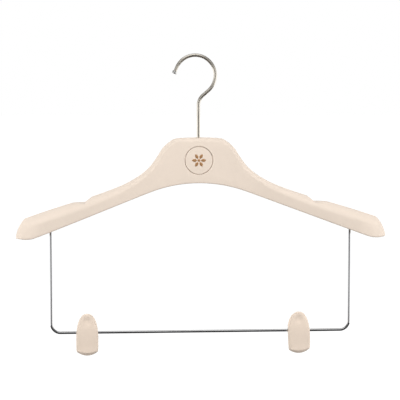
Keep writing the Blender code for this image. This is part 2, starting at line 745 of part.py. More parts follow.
def hook_points():
    """The hook's centre line, from the open end over the top and down the shank."""
    centre = Vector((-HOOK_OFFSET, 0, BODY_TOP + HOOK_CENTRE_RISE))
    arc_end = centre + HOOK_RADIUS * Vector((math.cos(HOOK_TIP_ANGLE), 0, math.sin(HOOK_TIP_ANGLE)))
    points = [arc_end + HOOK_END_LENGTH * Vector((-math.sin(HOOK_TIP_ANGLE), 0, math.cos(HOOK_TIP_ANGLE)))]
    for i in range(HOOK_ARC_STEPS + 1):
        angle = HOOK_TIP_ANGLE + (HOOK_LOW_ANGLE - HOOK_TIP_ANGLE) * i / HOOK_ARC_STEPS
        points.append(centre + HOOK_RADIUS * Vector((math.cos(angle), 0, math.sin(angle))))
    heading = Vector((math.sin(HOOK_LOW_ANGLE), 0, -math.cos(HOOK_LOW_ANGLE)))
    bend = HOOK_NECK_RADIUS * (1 - math.cos(HOOK_LOW_ANGLE))
    straight = (points[-1].x - bend) / -heading.x
    bend_start = points[-1] + heading * straight
    bend_centre = Vector((HOOK_NECK_RADIUS, 0, bend_start.z + HOOK_NECK_RADIUS * math.sin(HOOK_LOW_ANGLE)))
    for i in range(HOOK_NECK_STEPS + 1):
        angle = HOOK_LOW_ANGLE * (1 - i / HOOK_NECK_STEPS)
        points.append(bend_centre - HOOK_NECK_RADIUS * Vector((math.cos(angle), 0, math.sin(angle))))
    return points + [Vector((0, 0, SHANK_END))]


def make_hook():
    add_object("hook", wire("hook", hook_points(), HOOK_WIRE, 4), hook_metal())
    bore = HOOK_WIRE_RADIUS + CLEARANCE
    outer = TIP_CAP_DIAMETER / 2
    flat, shoulder = outer - TIP_CAP_EDGE, TIP_CAP_LENGTH - TIP_CAP_EDGE
    turns = [math.radians(90) * i / TIP_CAP_STEPS for i in range(TIP_CAP_STEPS + 1)]
    edge = [(flat + TIP_CAP_EDGE * math.cos(a), shoulder + TIP_CAP_EDGE * math.sin(a)) for a in turns]
    profile = [(0, CLEARANCE), (bore, CLEARANCE), (bore, -TIP_CAP_GRIP), (outer, -TIP_CAP_GRIP)] + edge
    profile.append((0, TIP_CAP_LENGTH))
    cap_mesh = mesh_from(turned(profile, ROUND_STEPS // 2), "hook_tip_cap")
    cap = add_object("hook_tip_cap", cap_mesh, polished_metal())
    tip, second = hook_points()[:2]
    cap.location = tip
    cap.rotation_euler = (tip - second).to_track_quat("Z", "Y").to_euler()


def make_swivel():
    """Bush, washer and nut round the shank."""
    bore = HOOK_WIRE_RADIUS + CLEARANCE
    bush, flange = BUSH_DIAMETER / 2, FLANGE_DIAMETER / 2
    seat = BUSH_BOTTOM + FLANGE_THICKNESS
    profile = [(bore, BUSH_TOP), (bush, BUSH_TOP), (bush, seat), (flange, seat),
               (flange, BUSH_BOTTOM), (bore, BUSH_BOTTOM)]
    add_object("swivel_bush", mesh_from(turned(profile), "swivel_bush"), bush_brass())
    washer = WASHER_DIAMETER / 2
    low = WASHER_TOP - WASHER_THICKNESS
    profile = [(bore, WASHER_TOP), (washer, WASHER_TOP), (washer, low), (bore, low)]
    add_object("thrust_washer", mesh_from(turned(profile), "thrust_washer"), spring_steel())
    corner = NUT_ACROSS_FLATS / 2 / math.cos(math.pi / NUT_SIDES)
    low = NUT_TOP - NUT_THICKNESS
    profile = [(0, NUT_TOP), (corner, NUT_TOP), (corner, low), (0, low)]
    nut = add_object("lock_nut", mesh_from(turned(profile, NUT_SIDES), "lock_nut"), spring_steel())
    hole = [(0, NUT_TOP + OVERRUN), (bore, NUT_TOP + OVERRUN), (bore, low - OVERRUN), (0, low - OVERRUN)]
    cut(nut, mesh_from(turned(hole), "nut_hole"))


def make_badge():
    """The disc that closes the recess in the neck, with the spigot that holds it."""
    front = NECK_DEPTH / 2
    back = front - BADGE_THICKNESS
    radius = BADGE_DIAMETER / 2
    spigot = SPIGOT_DIAMETER / 2
    profile = [(0, -front), (radius - BADGE_EDGE, -front), (radius, BADGE_EDGE - front), (radius, -back),
               (spigot, -back), (spigot, SPIGOT_LENGTH - back), (0, SPIGOT_LENGTH - back)]
    disc_mesh = mesh_from(turned(profile, 2 * ROUND_STEPS, "Y"), "badge_disc")
    badge = add_object("badge_disc", disc_mesh, shell_plastic())
    badge.location = (0, 0, BADGE_CENTRE)


def jaw_size(side):
    """The width of a jaw, and how far its lever rises above the rail."""
    return (JAW_WIDTH, JAW_RISE) if side == FRONT else (BACK_JAW_WIDTH, BACK_JAW_RISE)


def jaw_half_width(height, side):
    """Half the jaw's width: an arch above, straight sides, and corners drawn in a little at the toe."""
    width, rise = jaw_size(side)
    sink = JAW_ARCH_SINK_SHARE * rise
    if height > -sink:
        level = (height + sink) / (rise + sink)
        return width / 2 * (1 - level**JAW_ARCH_POWER) ** (1 / JAW_ARCH_POWER)
    return width / 2 * (1 - JAW_CORNER_SHARE * (height / JAW_DROP) ** 6)


def jaw_dish(share, across):
    """Depth of the thumb dish, deepest in the middle of the lever."""
    from_middle = (share - JAW_DISH_PLACE_SHARE) / JAW_DISH_REACH_SHARE
    if abs(from_middle) >= 1:
        return 0.0
    return JAW_DISH_DEPTH * (1 + math.cos(math.pi * from_middle)) / 2 * (1 - across * across)


def jaw_outer(height, across, set_back, side):
    """Depth of the jaw's outer face: levers flare at the top, edges are set back."""
    share = height / (jaw_size(side)[1] if height > 0 else JAW_DROP)
    face = JAW_BELLY_DEPTH * smooth_line(JAW_OUTER_SHARES, share) - JAW_EDGE_SET_BACK * set_back
    return face - jaw_dish(share, across)


def jaw_inner(height):
    """Depth of the jaw's inner face: along the spring's leg, down to the pad's seat, out at the toe."""
    if height >= 0:
        return LEVER_INNER + height * math.tan(JAW_LEVER_LEAN)
    if height < -JAW_DROP + JAW_TOE_LIP:
        return CLEARANCE
    return LEVER_INNER + (PAD_SEAT - LEVER_INNER) * min(-height / JAW_KNEE_DROP, 1.0)


def jaw_ring(height, side):
    """One level of the jaw: the crowned outer face, then the flat inner one."""
    half = jaw_half_width(height, side)
    lowness = max(0.0, -height / JAW_DROP) ** 3
    outer = [(a, jaw_outer(height, a, set_back, side)) for a, set_back in JAW_ACROSS_SHARES]
    inner = [(1.0, jaw_inner(height)), (0.0, jaw_inner(height)), (-1.0, jaw_inner(height))]
    ring = []
    for across, depth in outer + inner:
        lift = JAW_CORNER_LIFT * across * across * lowness
        ring.append((across * half, side * depth, height + lift))
    return ring


def jaw_plate(side):
    heights = [share * JAW_DROP for share in JAW_LOWER_SHARES]
    turns = [JAW_ARCH_ANGLE * i / JAW_ARCH_STEPS for i in range(JAW_ARCH_STEPS + 1)]
    heights += [jaw_size(side)[1] * math.sin(turn) for turn in turns]
    return lofted([jaw_ring(height, side) for height in heights], "jaw")


def ear_outline(side):
    """An ear's outline across the rail: round at the pivot, widening to its foot in the jaw."""
    points = [(-side * EAR_RADIUS * math.cos(a), EAR_RADIUS * math.sin(a)) for a in
              [math.radians(-90) + math.radians(180) * i / EAR_STEPS for i in range(EAR_STEPS + 1)]]
    top_depth = jaw_inner(EAR_FOOT) + WALL / 2
    low_depth = jaw_inner(-EAR_FOOT) + WALL / 2
    return points + [(side * top_depth, EAR_FOOT), (side * low_depth, -EAR_FOOT)]


def make_jaw(name, side, ear_place, holder):
    jaw = add_object(name, jaw_plate(side), clip_plastic(), holder)
    for mirror in (-1, 1):
        low = mirror * ear_place - EAR_THICKNESS / 2
        join(jaw, mesh_from(prism(ear_outline(side), low, low + EAR_THICKNESS, "X"), "ear"))
    bore = [(0, -JAW_WIDTH), (EAR_BORE, -JAW_WIDTH), (EAR_BORE, JAW_WIDTH), (0, JAW_WIDTH)]
    cut(jaw, mesh_from(turned(bore, ROUND_STEPS, "X"), "bore"))


def make_pad(name, side, holder):
    """A grip pad with ridges across it, seated in a jaw."""
    half = PAD_WIDTH / 2
    back = PAD_FACE + PAD_THICKNESS
    groove = PAD_FACE + PAD_RIDGE_DEPTH
    step = (PAD_BOTTOM_DROP - PAD_TOP_DROP) / PAD_RIDGES
    levels = [(-PAD_TOP_DROP, groove)]
    for i in range(PAD_RIDGES):
        top = -PAD_TOP_DROP - step * i
        levels += [(top - step / 4, PAD_FACE), (top - step * 3 / 4, PAD_FACE), (top - step, groove)]
    rings = []
    for z, face in levels:
        near, far = side * face, side * back
        rings.append([(-half, near, z), (half, near, z), (half, far, z), (-half, far, z)])
    add_object(name, lofted(rings, name), pad_rubber(), holder)


def make_sleeve(name, holder):
    """The sleeve that grips the rail, with a collar at each end that keeps the ears on it."""
    half = SLEEVE_LENGTH / 2
    inside = half - SLEEVE_COLLAR
    collar = SLEEVE_COLLAR_DIAMETER / 2
    profile = [(SLEEVE_BORE, -half), (collar, -half), (collar, -inside), (SLEEVE_RADIUS, -inside),
               (SLEEVE_RADIUS, inside), (collar, inside), (collar, half), (SLEEVE_BORE, half)]
    add_object(name, mesh_from(turned(profile, ROUND_STEPS, "X"), name), sleeve_plastic(), holder)


def spring_points():
    """A torsion spring round the sleeve: a leg down the front lever, the turns, a leg up the back one."""
    lean = JAW_LEVER_LEAN
    first = math.pi + lean
    last = 2 * math.pi * SPRING_WHOLE_TURNS - lean
    pitch = SPRING_WIRE + SPRING_TURN_GAP
    length = pitch * (last - first) / (2 * math.pi)
    count = round(SPRING_STEPS * (last - first) / (2 * math.pi))
    coil = []
    for i in range(count + 1):
        angle = first + (last - first) * i / count
        along = length * (i / count - 1 / 2)
        coil.append(Vector((along, SPRING_RADIUS * math.cos(angle), SPRING_RADIUS * math.sin(angle))))
    front_leg = coil[0] + SPRING_LEG * Vector((0, -math.sin(lean), math.cos(lean)))
    back_leg = coil[-1] + SPRING_LEG * Vector((0, math.sin(lean), math.cos(lean)))
    return [front_leg] + coil + [back_leg]


def least_spring_gap():
    """The least gap between turns, measured between points that are half a turn or more apart."""
    coil = spring_points()[1:-1]
    apart = SPRING_STEPS // 2
    pairs = [(a - b).length for i, a in enumerate(coil) for b in coil[i + apart:]]
    return min(pairs) - SPRING_WIRE


def make_clip(side_name, x, tilt):
    """One sprung clip, placed on the rail by the empty that its pieces hang on."""
    holder = bpy.data.objects.new(side_name + "_clip_axis", None)
    bpy.context.scene.collection.objects.link(holder)
    holder.location = (x, -bow(LEG_REACH), RAIL_HEIGHT)
    holder.rotation_euler = (0, tilt, 0)
    make_sleeve(side_name + "_sleeve", holder)
    make_jaw(side_name + "_back_jaw", BACK, BACK_EAR_PLACE, holder)
    make_jaw(side_name + "_front_jaw", FRONT, FRONT_EAR_PLACE, holder)
    make_pad(side_name + "_back_pad", BACK, holder)
    make_pad(side_name + "_front_pad", FRONT, holder)
    spring = wire(side_name + "_spring", spring_points(), SPRING_WIRE, 1)
    add_object(side_name + "_spring", spring, spring_steel(), holder)


def main():
    clear_scene()
    make_hook()
    make_swivel()
    make_shell(FRONT, "front_shell")
    make_shell(BACK, "back_shell")
    make_badge()
    add_object("rail_frame", wire("rail_frame", rail_points(), RAIL_WIRE), rail_chrome())
    for side_name, x, tilt in CLIPS:
        make_clip(side_name, x, tilt)
    print(f"least gap between the spring's turns: {least_spring_gap():.5f} m")


main()
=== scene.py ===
import math

import bmesh
import bpy
from bpy.props import FloatProperty, FloatVectorProperty, PointerProperty
from bpy.types import Operator, Panel, PropertyGroup
from mathutils import Matrix, Quaternion, Vector


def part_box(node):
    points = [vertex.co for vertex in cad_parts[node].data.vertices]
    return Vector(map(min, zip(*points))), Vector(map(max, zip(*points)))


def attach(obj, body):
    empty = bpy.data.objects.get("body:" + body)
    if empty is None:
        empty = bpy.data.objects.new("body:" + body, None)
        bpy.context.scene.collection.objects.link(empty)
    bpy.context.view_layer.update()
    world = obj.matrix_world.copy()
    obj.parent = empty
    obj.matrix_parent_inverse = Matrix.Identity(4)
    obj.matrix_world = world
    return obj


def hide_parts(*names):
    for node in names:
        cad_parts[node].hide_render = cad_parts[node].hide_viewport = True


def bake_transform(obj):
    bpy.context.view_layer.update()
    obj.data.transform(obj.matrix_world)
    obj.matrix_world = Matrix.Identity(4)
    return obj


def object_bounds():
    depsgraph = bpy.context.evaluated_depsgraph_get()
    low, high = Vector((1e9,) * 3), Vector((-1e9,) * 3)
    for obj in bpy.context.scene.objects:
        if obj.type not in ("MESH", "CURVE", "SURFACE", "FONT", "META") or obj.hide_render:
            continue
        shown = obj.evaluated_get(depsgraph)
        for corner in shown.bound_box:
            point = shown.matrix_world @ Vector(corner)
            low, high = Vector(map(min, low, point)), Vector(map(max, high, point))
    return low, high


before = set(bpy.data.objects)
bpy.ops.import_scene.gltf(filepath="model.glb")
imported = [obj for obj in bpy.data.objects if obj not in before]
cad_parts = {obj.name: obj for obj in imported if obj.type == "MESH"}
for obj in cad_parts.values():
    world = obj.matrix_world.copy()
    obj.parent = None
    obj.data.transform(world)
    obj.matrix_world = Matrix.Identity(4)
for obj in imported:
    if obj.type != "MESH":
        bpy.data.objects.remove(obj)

bl_info = {
    "name": "Trouser hanger",
    "version": (1, 0, 0),
    "blender": (4, 5, 0),
    "location": "View3D > Sidebar > Hanger",
    "description": "Dresses the moulded trouser hanger: body, badge, hook, rail and clips",
    "category": "Object",
}

# The frame's own places and sizes, at rest
CAD_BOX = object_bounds()
HALF_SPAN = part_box("front_shell")[1].x
BODY_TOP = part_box("front_shell")[1].z
RAIL_LOW, RAIL_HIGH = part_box("rail_frame")
BADGE_LOW, BADGE_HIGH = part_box("badge_disc")
BADGE_RADIUS = (BADGE_HIGH.x - BADGE_LOW.x) / 2
BADGE_CENTRE = (BADGE_LOW.z + BADGE_HIGH.z) / 2
HOOK_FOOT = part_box("hook")[0].z

# Gap between pieces, how far a cut runs on, and when points are one and edges sharp
CLEARANCE = 0.0003
OVERRUN = 0.004
WELD_DISTANCE = CLEARANCE / 300
SHARP_ANGLE = math.radians(34)

# The way in which a half or a jaw faces
FRONT = -1
BACK = 1

# Outline of the body: shares of the neck's reach and fall, then of the rest of the arm's top
NECK_TOP_SHARES = (
    (0.0, 0.0), (0.29, 0.012), (0.42, 0.037), (0.50, 0.106), (0.571, 0.194),
    (0.643, 0.312), (0.714, 0.490), (0.786, 0.655), (0.857, 0.800), (1.0, 1.0),
)
ARM_TOP_SHARES = ((0.07, 0.126), (0.14, 0.230), (0.28, 0.385), (0.42, 0.513), (0.77, 0.796), (1.0, 1.0))

# Step over which the upper edge's slope is measured, as a share of the half span
SLOPE_STEP_SHARE = 0.001

# Slopes of the underside, of its end at the tip and of the sweep, and the most of a rib that is rounded
UNDER_FALL_SHARE = 0.3575
TIP_TOE_LIFT_SHARE = 0.15
BOW_SHARE = 0.34
MOST_ROUNDING_SHARE = 0.72

# Spacing of the ribs along the body, and the steps round one
COLUMN_STEP = 0.0016
NOTCH_COLUMN_STEP = 0.0004
TIP_COLUMNS = 30
OUTER_STEPS = 18
FACE_STEPS = 5
FILLET_STEPS = 5
INNER_STEPS = 5

# Depth of the shank's hole, in walls of the body
SHANK_HOLE_WALLS = 4

# Outer face of a clip's jaw: shares of the rise or drop against shares of the belly's depth
JAW_OUTER_SHARES = (
    (-1.0, 0.50), (-0.58, 0.67), (-0.29, 0.83), (0.0, 0.98),
    (0.20, 1.05), (0.45, 1.08), (0.70, 1.13), (1.0, 1.32),
)

# Shape of a jaw's arch, corners, toe, thumb dish and lip
JAW_ARCH_SINK_SHARE = 0.30
JAW_ARCH_POWER = 2.3
JAW_ARCH_TURN = math.radians(88)
JAW_CORNER_SHARE = 0.06
JAW_CORNER_POWER = 6
JAW_LIFT_POWER = 3
JAW_TOE_POWER = 1.2
JAW_DISH_PLACE_SHARE = 0.62
JAW_DISH_REACH_SHARE = 0.30
JAW_DISH_SPREAD_SHARE = 0.62
JAW_LIP_SHARES = (0.93, 0.905)

# Steps across and along a jaw and round its ears; the inner face keeps one point in three
JAW_ACROSS_STEPS = 36
JAW_INNER_STRIDE = 3
JAW_TOE_STEPS = 6
JAW_LOWER_STEPS = 40
JAW_ARCH_STEPS = 28
EAR_STEPS = 24

# Ridges of a grip pad, and the steps along one
PAD_RIDGES = 4
PAD_RIDGE_STEPS = 8

# Rounding of a collar as a share of its thickness, and of a spring's ends as a share of its wire
COLLAR_EDGE_SHARE = 0.25
SPRING_EDGE_SHARE = 0.1

# A spring's coil runs from half a turn up to this turn, less the levers' lean at both ends
SPRING_LAST_TURN = 4

# Outline and crown of the ornament's petals
PETALS = 6
PETAL_STEPS = 14
PETAL_POWER = 0.8
PETAL_ACROSS_SHARES = (-1.0, -0.6, 0.0, 0.6, 1.0)
PETAL_RIM_SHARE = 0.35

# How finely round shapes are drawn
FINE_STEPS = 64
CORNER_STEPS = 4
BEAD_STEPS = 6
BUTTON_EDGE_STEPS = 5
WIRE_SIDES = 28
WIRE_EDGE_STEPS = 3
HOOK_ARC_STEPS = 110
HOOK_NECK_STEPS = 28
RAIL_BEND_STEPS = 22
SPRING_SIDES = 12
SPRING_TURN_STEPS = 28

# Lamps: name, place from the aim, width and height, and whether metal mirrors the lamp
LAMPS = (
    ("overhead_lamp", (-0.2, -0.7, 1.7), (2.0, 1.4), True),
    ("left_lamp", (-1.85, -1.1, 0.3), (1.0, 1.4), False),
    ("right_lamp", (1.85, -1.1, 0.3), (1.0, 1.4), False),
    ("back_lamp", (0.0, 1.35, 1.15), (2.4, 1.4), False),
)

# Cells and reach of the floor, the sensor in millimetres, and the picture's shift in shares of its width
FLOOR_CELLS = 8
FLOOR_REACH = 30.0
SENSOR_WIDTH = 36.0
SHIFT_ACROSS_SHARE = 0.004
SHIFT_UP_SHARE = 0.012


def number(name, description, default):
    return FloatProperty(name=name, description=description, default=default, min=0)


def length(name, description, default):
    return FloatProperty(
        name=name, description=description, default=default, min=0, precision=5, unit="LENGTH")


def angle(name, description, degrees):
    return FloatProperty(name=name, description=description, default=math.radians(degrees), unit="ROTATION")


def colour(name, description, default):
    return FloatVectorProperty(
        name=name, description=description, default=default, size=3, min=0, max=1, subtype="COLOR")


class BodySizes(PropertyGroup):
    """Sizes and colour of the moulded body."""

    half_span: length("Half span", "From the shank to one tip", HALF_SPAN)
    neck_reach: length("Neck reach", "From the shank to where the neck's side meets the arm", 0.070)
    neck_fall: length("Neck fall", "How far the top falls over the neck", 0.0443)
    neck_height: length("Neck height", "Top to underside at the shank", 0.0565)
    under_ease: length("Underside ease", "How long the underside takes to bend down", 0.060)
    tip_ease: length("Tip ease", "How long the underside takes to level out at a tip", 0.0235)
    tip_toe_drop: length("Toe drop", "How far the very tip lies below that bend", 0.0007)
    tip_edge_height: length("Tip edge height", "Height of the rounded tip's edge", 0.0233)
    tip_top_inset: length("Tip top inset", "How far the tip's top is drawn in", 0.011)
    tip_bulge: length("Tip bulge", "How far the tip's edge swells outwards", 0.0022)
    tip_length: length("Tip length", "Stretch over which the tip is rounded in plan", 0.0385)
    neck_depth: length("Neck depth", "Front to back at the neck", 0.018)
    shoulder_depth: length("Shoulder depth", "Front to back at the shoulders", 0.046)
    neck_rounding: length("Neck rounding", "Height of the rounded top at the neck", 0.0055)
    shoulder_rounding: length("Shoulder rounding", "Height of the rounded top at the shoulders", 0.0122)
    depth_start: length("Depth start", "Reach at which the body starts to deepen", 0.035)
    depth_end: length("Depth end", "Reach at which the body is at its full depth", 0.175)
    under_fillet: length("Underside fillet", "Radius of the lower edges", 0.0018)
    wall: length("Wall", "Thickness of the moulding", 0.0022)
    bow_start: length("Bow start", "Reach at which the arms start to sweep forward", 0.020)
    bow_ease: length("Bow ease", "How long the sweep takes to reach its slope", 0.070)
    notch_start: length("Notch start", "Reach of a strap notch's upper lip", 0.1318)
    notch_ramp: length("Notch ramp", "Length of the notch's ramp", 0.0082)
    notch_floor: length("Notch floor", "Length of the notch's floor", 0.014)
    notch_depth: length("Notch depth", "Depth of the notch at the foot of its ramp", 0.0052)
    notch_floor_rise: length("Notch floor rise", "How much the floor rises outwards", 0.0008)
    notch_margin: length("Notch margin", "How far the thicker roof runs past a notch", 0.007)
    notch_softness: length("Notch softness", "Rounding of the notch's edges", 0.0013)
    plastic: colour("Body plastic", "Colour of the moulded body", (0.815, 0.700, 0.597))


class BadgeSizes(PropertyGroup):
    """Sizes and colour of the disc in the neck and its ornament."""

    thickness: length("Disc thickness", "Thickness of the disc", 0.0016)
    edge: length("Disc edge", "Rounding of the disc's rim", 0.0003)
    gap: length("Ring gap", "Gap round the disc, beyond the clearance", 0.00045)
    spigot_diameter: length("Spigot diameter", "Pin on the disc's back", 0.006)
    spigot_length: length("Spigot length", "Length of that pin", 0.0022)
    petal_start: length("Petal start", "From the centre to a petal's inner point", 0.0023)
    petal_length: length("Petal length", "Length of a petal", 0.0064)
    petal_width: length("Petal width", "Width of a petal", 0.0037)
    bead: length("Bead", "Diameter of the ornament's centre bead", 0.0034)
    relief: length("Relief", "How far the ornament stands out", 0.0004)
    copper: colour("Ornament copper", "Colour of the ornament", (0.66, 0.36, 0.17))


class HookSizes(PropertyGroup):
    """Sizes and colours of the wire hook and the button on its open end."""

    wire: length("Hook wire", "Diameter of the hook's wire", 0.0042)
    radius: length("Hook radius", "Radius of the hook's round bend, at the wire's middle", 0.0248)
    offset: length("Hook offset", "How far the bend's centre lies left of the shank", 0.0040)
    centre_rise: length("Hook centre rise", "From the body's top to the bend's centre", 0.07623)
    neck_radius: length("Hook neck radius", "Radius of the lower bend", 0.0162)
    tip_angle: angle("Tip angle", "Where the bend ends at the open end", 157)
    end_length: length("End length", "Straight run from there to the wire's end", 0.0063)
    low_angle: angle("Low angle", "Where the bend ends above the shank", -49)
    button_diameter: length("Button diameter", "Diameter of the button", 0.0060)
    button_length: length("Button length", "How far the button reaches past the wire", 0.0020)
    button_grip: length("Button grip", "How far the button reaches over the wire", 0.0014)
    button_edge: length("Button edge", "Rounding of the button's edges", 0.0005)
    satin: colour("Hook metal", "Colour of the satin hook", (0.91, 0.85, 0.75))
    bright: colour("Button metal", "Colour of the bright button", (0.86, 0.85, 0.83))


class RailSizes(PropertyGroup):
    """Sizes and colour of the wire frame that carries the clips."""

    wire: length("Rail wire", "Diameter of the rail's wire", 0.0032)
    corner: length("Rail corner", "Radius of the two lower corners", 0.011)
    leg_corner: length("Leg corner", "Radius of the bends inside the arms", 0.004)
    insert: length("Leg insert", "How far a leg reaches into its arm", 0.010)
    foot: length("Foot length", "Length of the bent foot inside the arm", 0.013)
    chrome: colour("Rail chrome", "Colour of the chromed rail", (0.72, 0.72, 0.73))


class ClipSizes(PropertyGroup):
    """Sizes and colours of the two sprung clips."""

    width: length("Front jaw width", "Width of the front jaw", 0.0268)
    back_width: length("Back jaw width", "Width of the back jaw", 0.0246)
    rise: length("Front jaw rise", "From the rail up to the front arch's top", 0.0244)
    back_rise: length("Back jaw rise", "From the rail up to the back arch's top", 0.0196)
    drop: length("Jaw drop", "From the rail down to the toe", 0.0282)
    corner_lift: length("Corner lift", "How far the toe's corners lie above its middle", 0.0046)
    belly: length("Belly depth", "From the rail's axis to the front face", 0.010)
    edge: length("Jaw edge", "Width of the rounded edge round the face", 0.0034)
    edge_set_back: length("Edge set back", "How far that edge falls back", 0.0022)
    toe_bevel: length("Toe bevel", "Height of the bevel along the toe", 0.0042)
    toe_set_back: length("Toe set back", "How far the toe's bevel falls back", 0.0042)
    knee_drop: length("Knee drop", "From the rail down to where the pad's seat starts", 0.0115)
    dish: length("Thumb dish", "Depth of the dish in the lever", 0.0011)
    lean: angle("Lever lean", "How far a lever leans away from upright", 9)
    right_tilt: angle("Right clip tilt", "How far the right clip leans on the rail", -3.0)
    ear: length("Ear thickness", "Thickness of the ears round the sleeve", 0.0022)
    front_ear: length("Front ear place", "From the middle to the front jaw's ears", 0.008)
    back_ear: length("Back ear place", "From the middle to the back jaw's ears", 0.0107)
    ear_foot: length("Ear foot", "Half height of an ear where it joins the jaw", 0.0062)
    sleeve: length("Sleeve length", "Length of the sleeve on the rail", 0.0254)
    sleeve_wall: length("Sleeve wall", "Wall of the sleeve", 0.0009)
    collar: length("Collar diameter", "Diameter of the sleeve's collars", 0.0092)
    spring_wire: length("Spring wire", "Diameter of the spring's wire", 0.0012)
    spring_leg: length("Spring leg", "Length of the spring's legs", 0.012)
    coil_gap: length("Coil gap", "Gap between the sleeve and the spring", 0.0005)
    turn_gap: length("Turn gap", "Gap between two turns", 0.0006)
    pad_width: length("Pad width", "Width of a grip pad", 0.021)
    pad_thickness: length("Pad thickness", "Thickness of a grip pad", 0.0016)
    pad_top: length("Pad top", "From the rail down to the pad's top", 0.0125)
    pad_bottom: length("Pad bottom", "From the rail down to the pad's bottom", 0.0215)
    ridge: length("Ridge depth", "Depth of the grooves between ridges", 0.0005)
    plastic: colour("Clip plastic", "Colour of the clips", (0.835, 0.702, 0.587))
    rubber: colour("Pad rubber", "Colour of the grip pads", (0.60, 0.50, 0.41))
    sleeve_plastic: colour("Sleeve plastic", "Colour of the sleeves", (0.69, 0.60, 0.51))
    steel: colour("Spring steel", "Colour of the springs, the washer and the nut", (0.55, 0.55, 0.56))
    brass: colour("Bush brass", "Colour of the swivel's bush", (0.70, 0.54, 0.27))


class StageSizes(PropertyGroup):
    """Camera, lamps, floor and dark card."""

    azimuth: angle("Azimuth", "Camera's turn round the hanger", -4.3)
    elevation: angle("Elevation", "Camera's height angle", 4.5)
    roll: angle("Roll", "Camera's roll", 0.0)
    distance: length("Distance", "Camera to hanger", 2.0)
    aim_fall: length("Aim fall", "From the body's top down to the aim", 0.08375)
    lens: FloatProperty(name="Lens", description="Focal length in millimetres", default=145.16, min=1)
    floor_gap: length("Floor gap", "From the clips down to the floor", 0.42)
    ambient: number("Ambient", "Strength of the even light", 0.42)
    zenith: number("Zenith", "Brightness overhead, as mirrors see it", 0.15)
    zenith_end: number("Zenith end", "Height share where it is reached", 0.5)
    key_power: number("Key power", "Overhead lamp, in watts", 9.6)
    left_power: number("Left power", "Left lamp, in watts", 28.0)
    right_power: number("Right power", "Right lamp, in watts", 31.0)
    back_power: number("Back power", "Lamp behind, in watts", 17.0)
    floor_colour: colour("Floor colour", "Colour of the floor", (0.33, 0.33, 0.33))
    near_lift: number("Near lift", "White added near the hanger", 0.75)
    far_lift: number("Far lift", "White added far away", 0.92)
    lift_start: length("Lift start", "Distance at which the floor starts to whiten", 0.9)
    lift_end: length("Lift end", "Distance at which it is white", 1.7)
    card_reach: length("Card reach", "Half width of the dark card on the floor", 1.5)
    card_front: length("Card front", "From the hanger to the card's front edge", 1.6)
    card_back: length("Card back", "How far the card runs on behind the hanger", 1.5)
    panel_reach: length("Panel reach", "Half width of the dark panel that stands on that edge", 1.25)
    panel_rise: length("Panel rise", "How far the panel reaches over the body's top", 0.16)


class HangerSettings(PropertyGroup):
    """Everything that can be set on the hanger and its stage."""

    body: PointerProperty(type=BodySizes)
    badge: PointerProperty(type=BadgeSizes)
    hook: PointerProperty(type=HookSizes)
    rail: PointerProperty(type=RailSizes)
    clips: PointerProperty(type=ClipSizes)
    stage: PointerProperty(type=StageSizes)


class Channel:
    """A shader value that adds its Math nodes when it is used in a Python expression."""

    def __init__(self, finish, socket):
        self.finish = finish
        self.socket = socket

    def combined(self, operation, first, second):
        return self.finish.node("ShaderNodeMath", {"operation": operation}, {0: first, 1: second})

    def __add__(self, other):
        return self.combined("ADD", self, other)

    def __radd__(self, other):
        return self.combined("ADD", other, self)

    def __sub__(self, other):
        return self.combined("SUBTRACT", self, other)

    def __rsub__(self, other):
        return self.combined("SUBTRACT", other, self)

    def __mul__(self, other):
        return self.combined("MULTIPLY", self, other)

    def __rmul__(self, other):
        return self.combined("MULTIPLY", other, self)


class Finish:
    """One procedural material while its nodes are laid."""

    def __init__(self, name="", tree=None):
        if tree is None:
            self.material = bpy.data.materials.new(name)
            self.material.use_nodes = True
            tree = self.material.node_tree
            self.shader = tree.nodes["Principled BSDF"]
        self.tree = tree

    def feed(self, socket, value):
        """Links a channel to a socket, or writes a constant on it."""
        if isinstance(value, Channel):
            self.tree.links.new(value.socket, socket)
        else:
            socket.default_value = value

    def node(self, kind, settings=None, sockets=None, output=0):
        """Adds a node: first its settings, then the values or links of its sockets."""
        made = self.tree.nodes.new(kind)
        for name, value in (settings or {}).items():
            setattr(made, name, value)
        for name, value in (sockets or {}).items():
            self.feed(made.inputs[name], value)
        return Channel(self, made.outputs[output])

    def place(self):
        return self.node("ShaderNodeTexCoord", output="Object")

    def drawn(self):
        """The coordinate along and round a wire, stored when it was made."""
        return self.node("ShaderNodeAttribute", {"attribute_name": "drawn"}, output="Vector")

    def noise(self, place, scale, detail=2.0, roughness=0.5):
        return self.node("ShaderNodeTexNoise", sockets={
            "Vector": place, "Scale": scale, "Detail": detail, "Roughness": roughness})

    def stretched(self, place, scales):
        """Coordinates scaled by three factors of their own."""
        return self.node("ShaderNodeVectorMath", {"operation": "MULTIPLY"}, {0: place, 1: scales})

    def spread(self, value, low, high, result_low=0.0, result_high=1.0):
        """A value carried from one range over to another, and held at its ends."""
        return self.node("ShaderNodeMapRange", sockets={
            "Value": value, "From Min": low, "From Max": high, "To Min": result_low, "To Max": result_high})

    def mix(self, share, first, second):
        return self.node("ShaderNodeMix", {"data_type": "RGBA"}, {0: share, 6: first, 7: second}, 2)

    def edges(self, low, high):
        """One on convex edges and zero elsewhere."""
        return self.spread(self.node("ShaderNodeNewGeometry", output="Pointiness"), low, high)

    def bump(self, height, strength, distance):
        self.set(Normal=self.node("ShaderNodeBump", sockets={
            "Height": height, "Strength": strength, "Distance": distance}))

    def set(self, **sockets):
        """Feeds the shader's sockets; an underscore stands for a blank in a name."""
        for name, value in sockets.items():
            self.feed(self.shader.inputs[name.replace("_", " ")], value)


def shade_of(colour_now, share):
    """A colour made darker or lighter, with the alpha that a colour socket wants."""
    return (*[min(channel * share, 1.0) for channel in colour_now], 1.0)


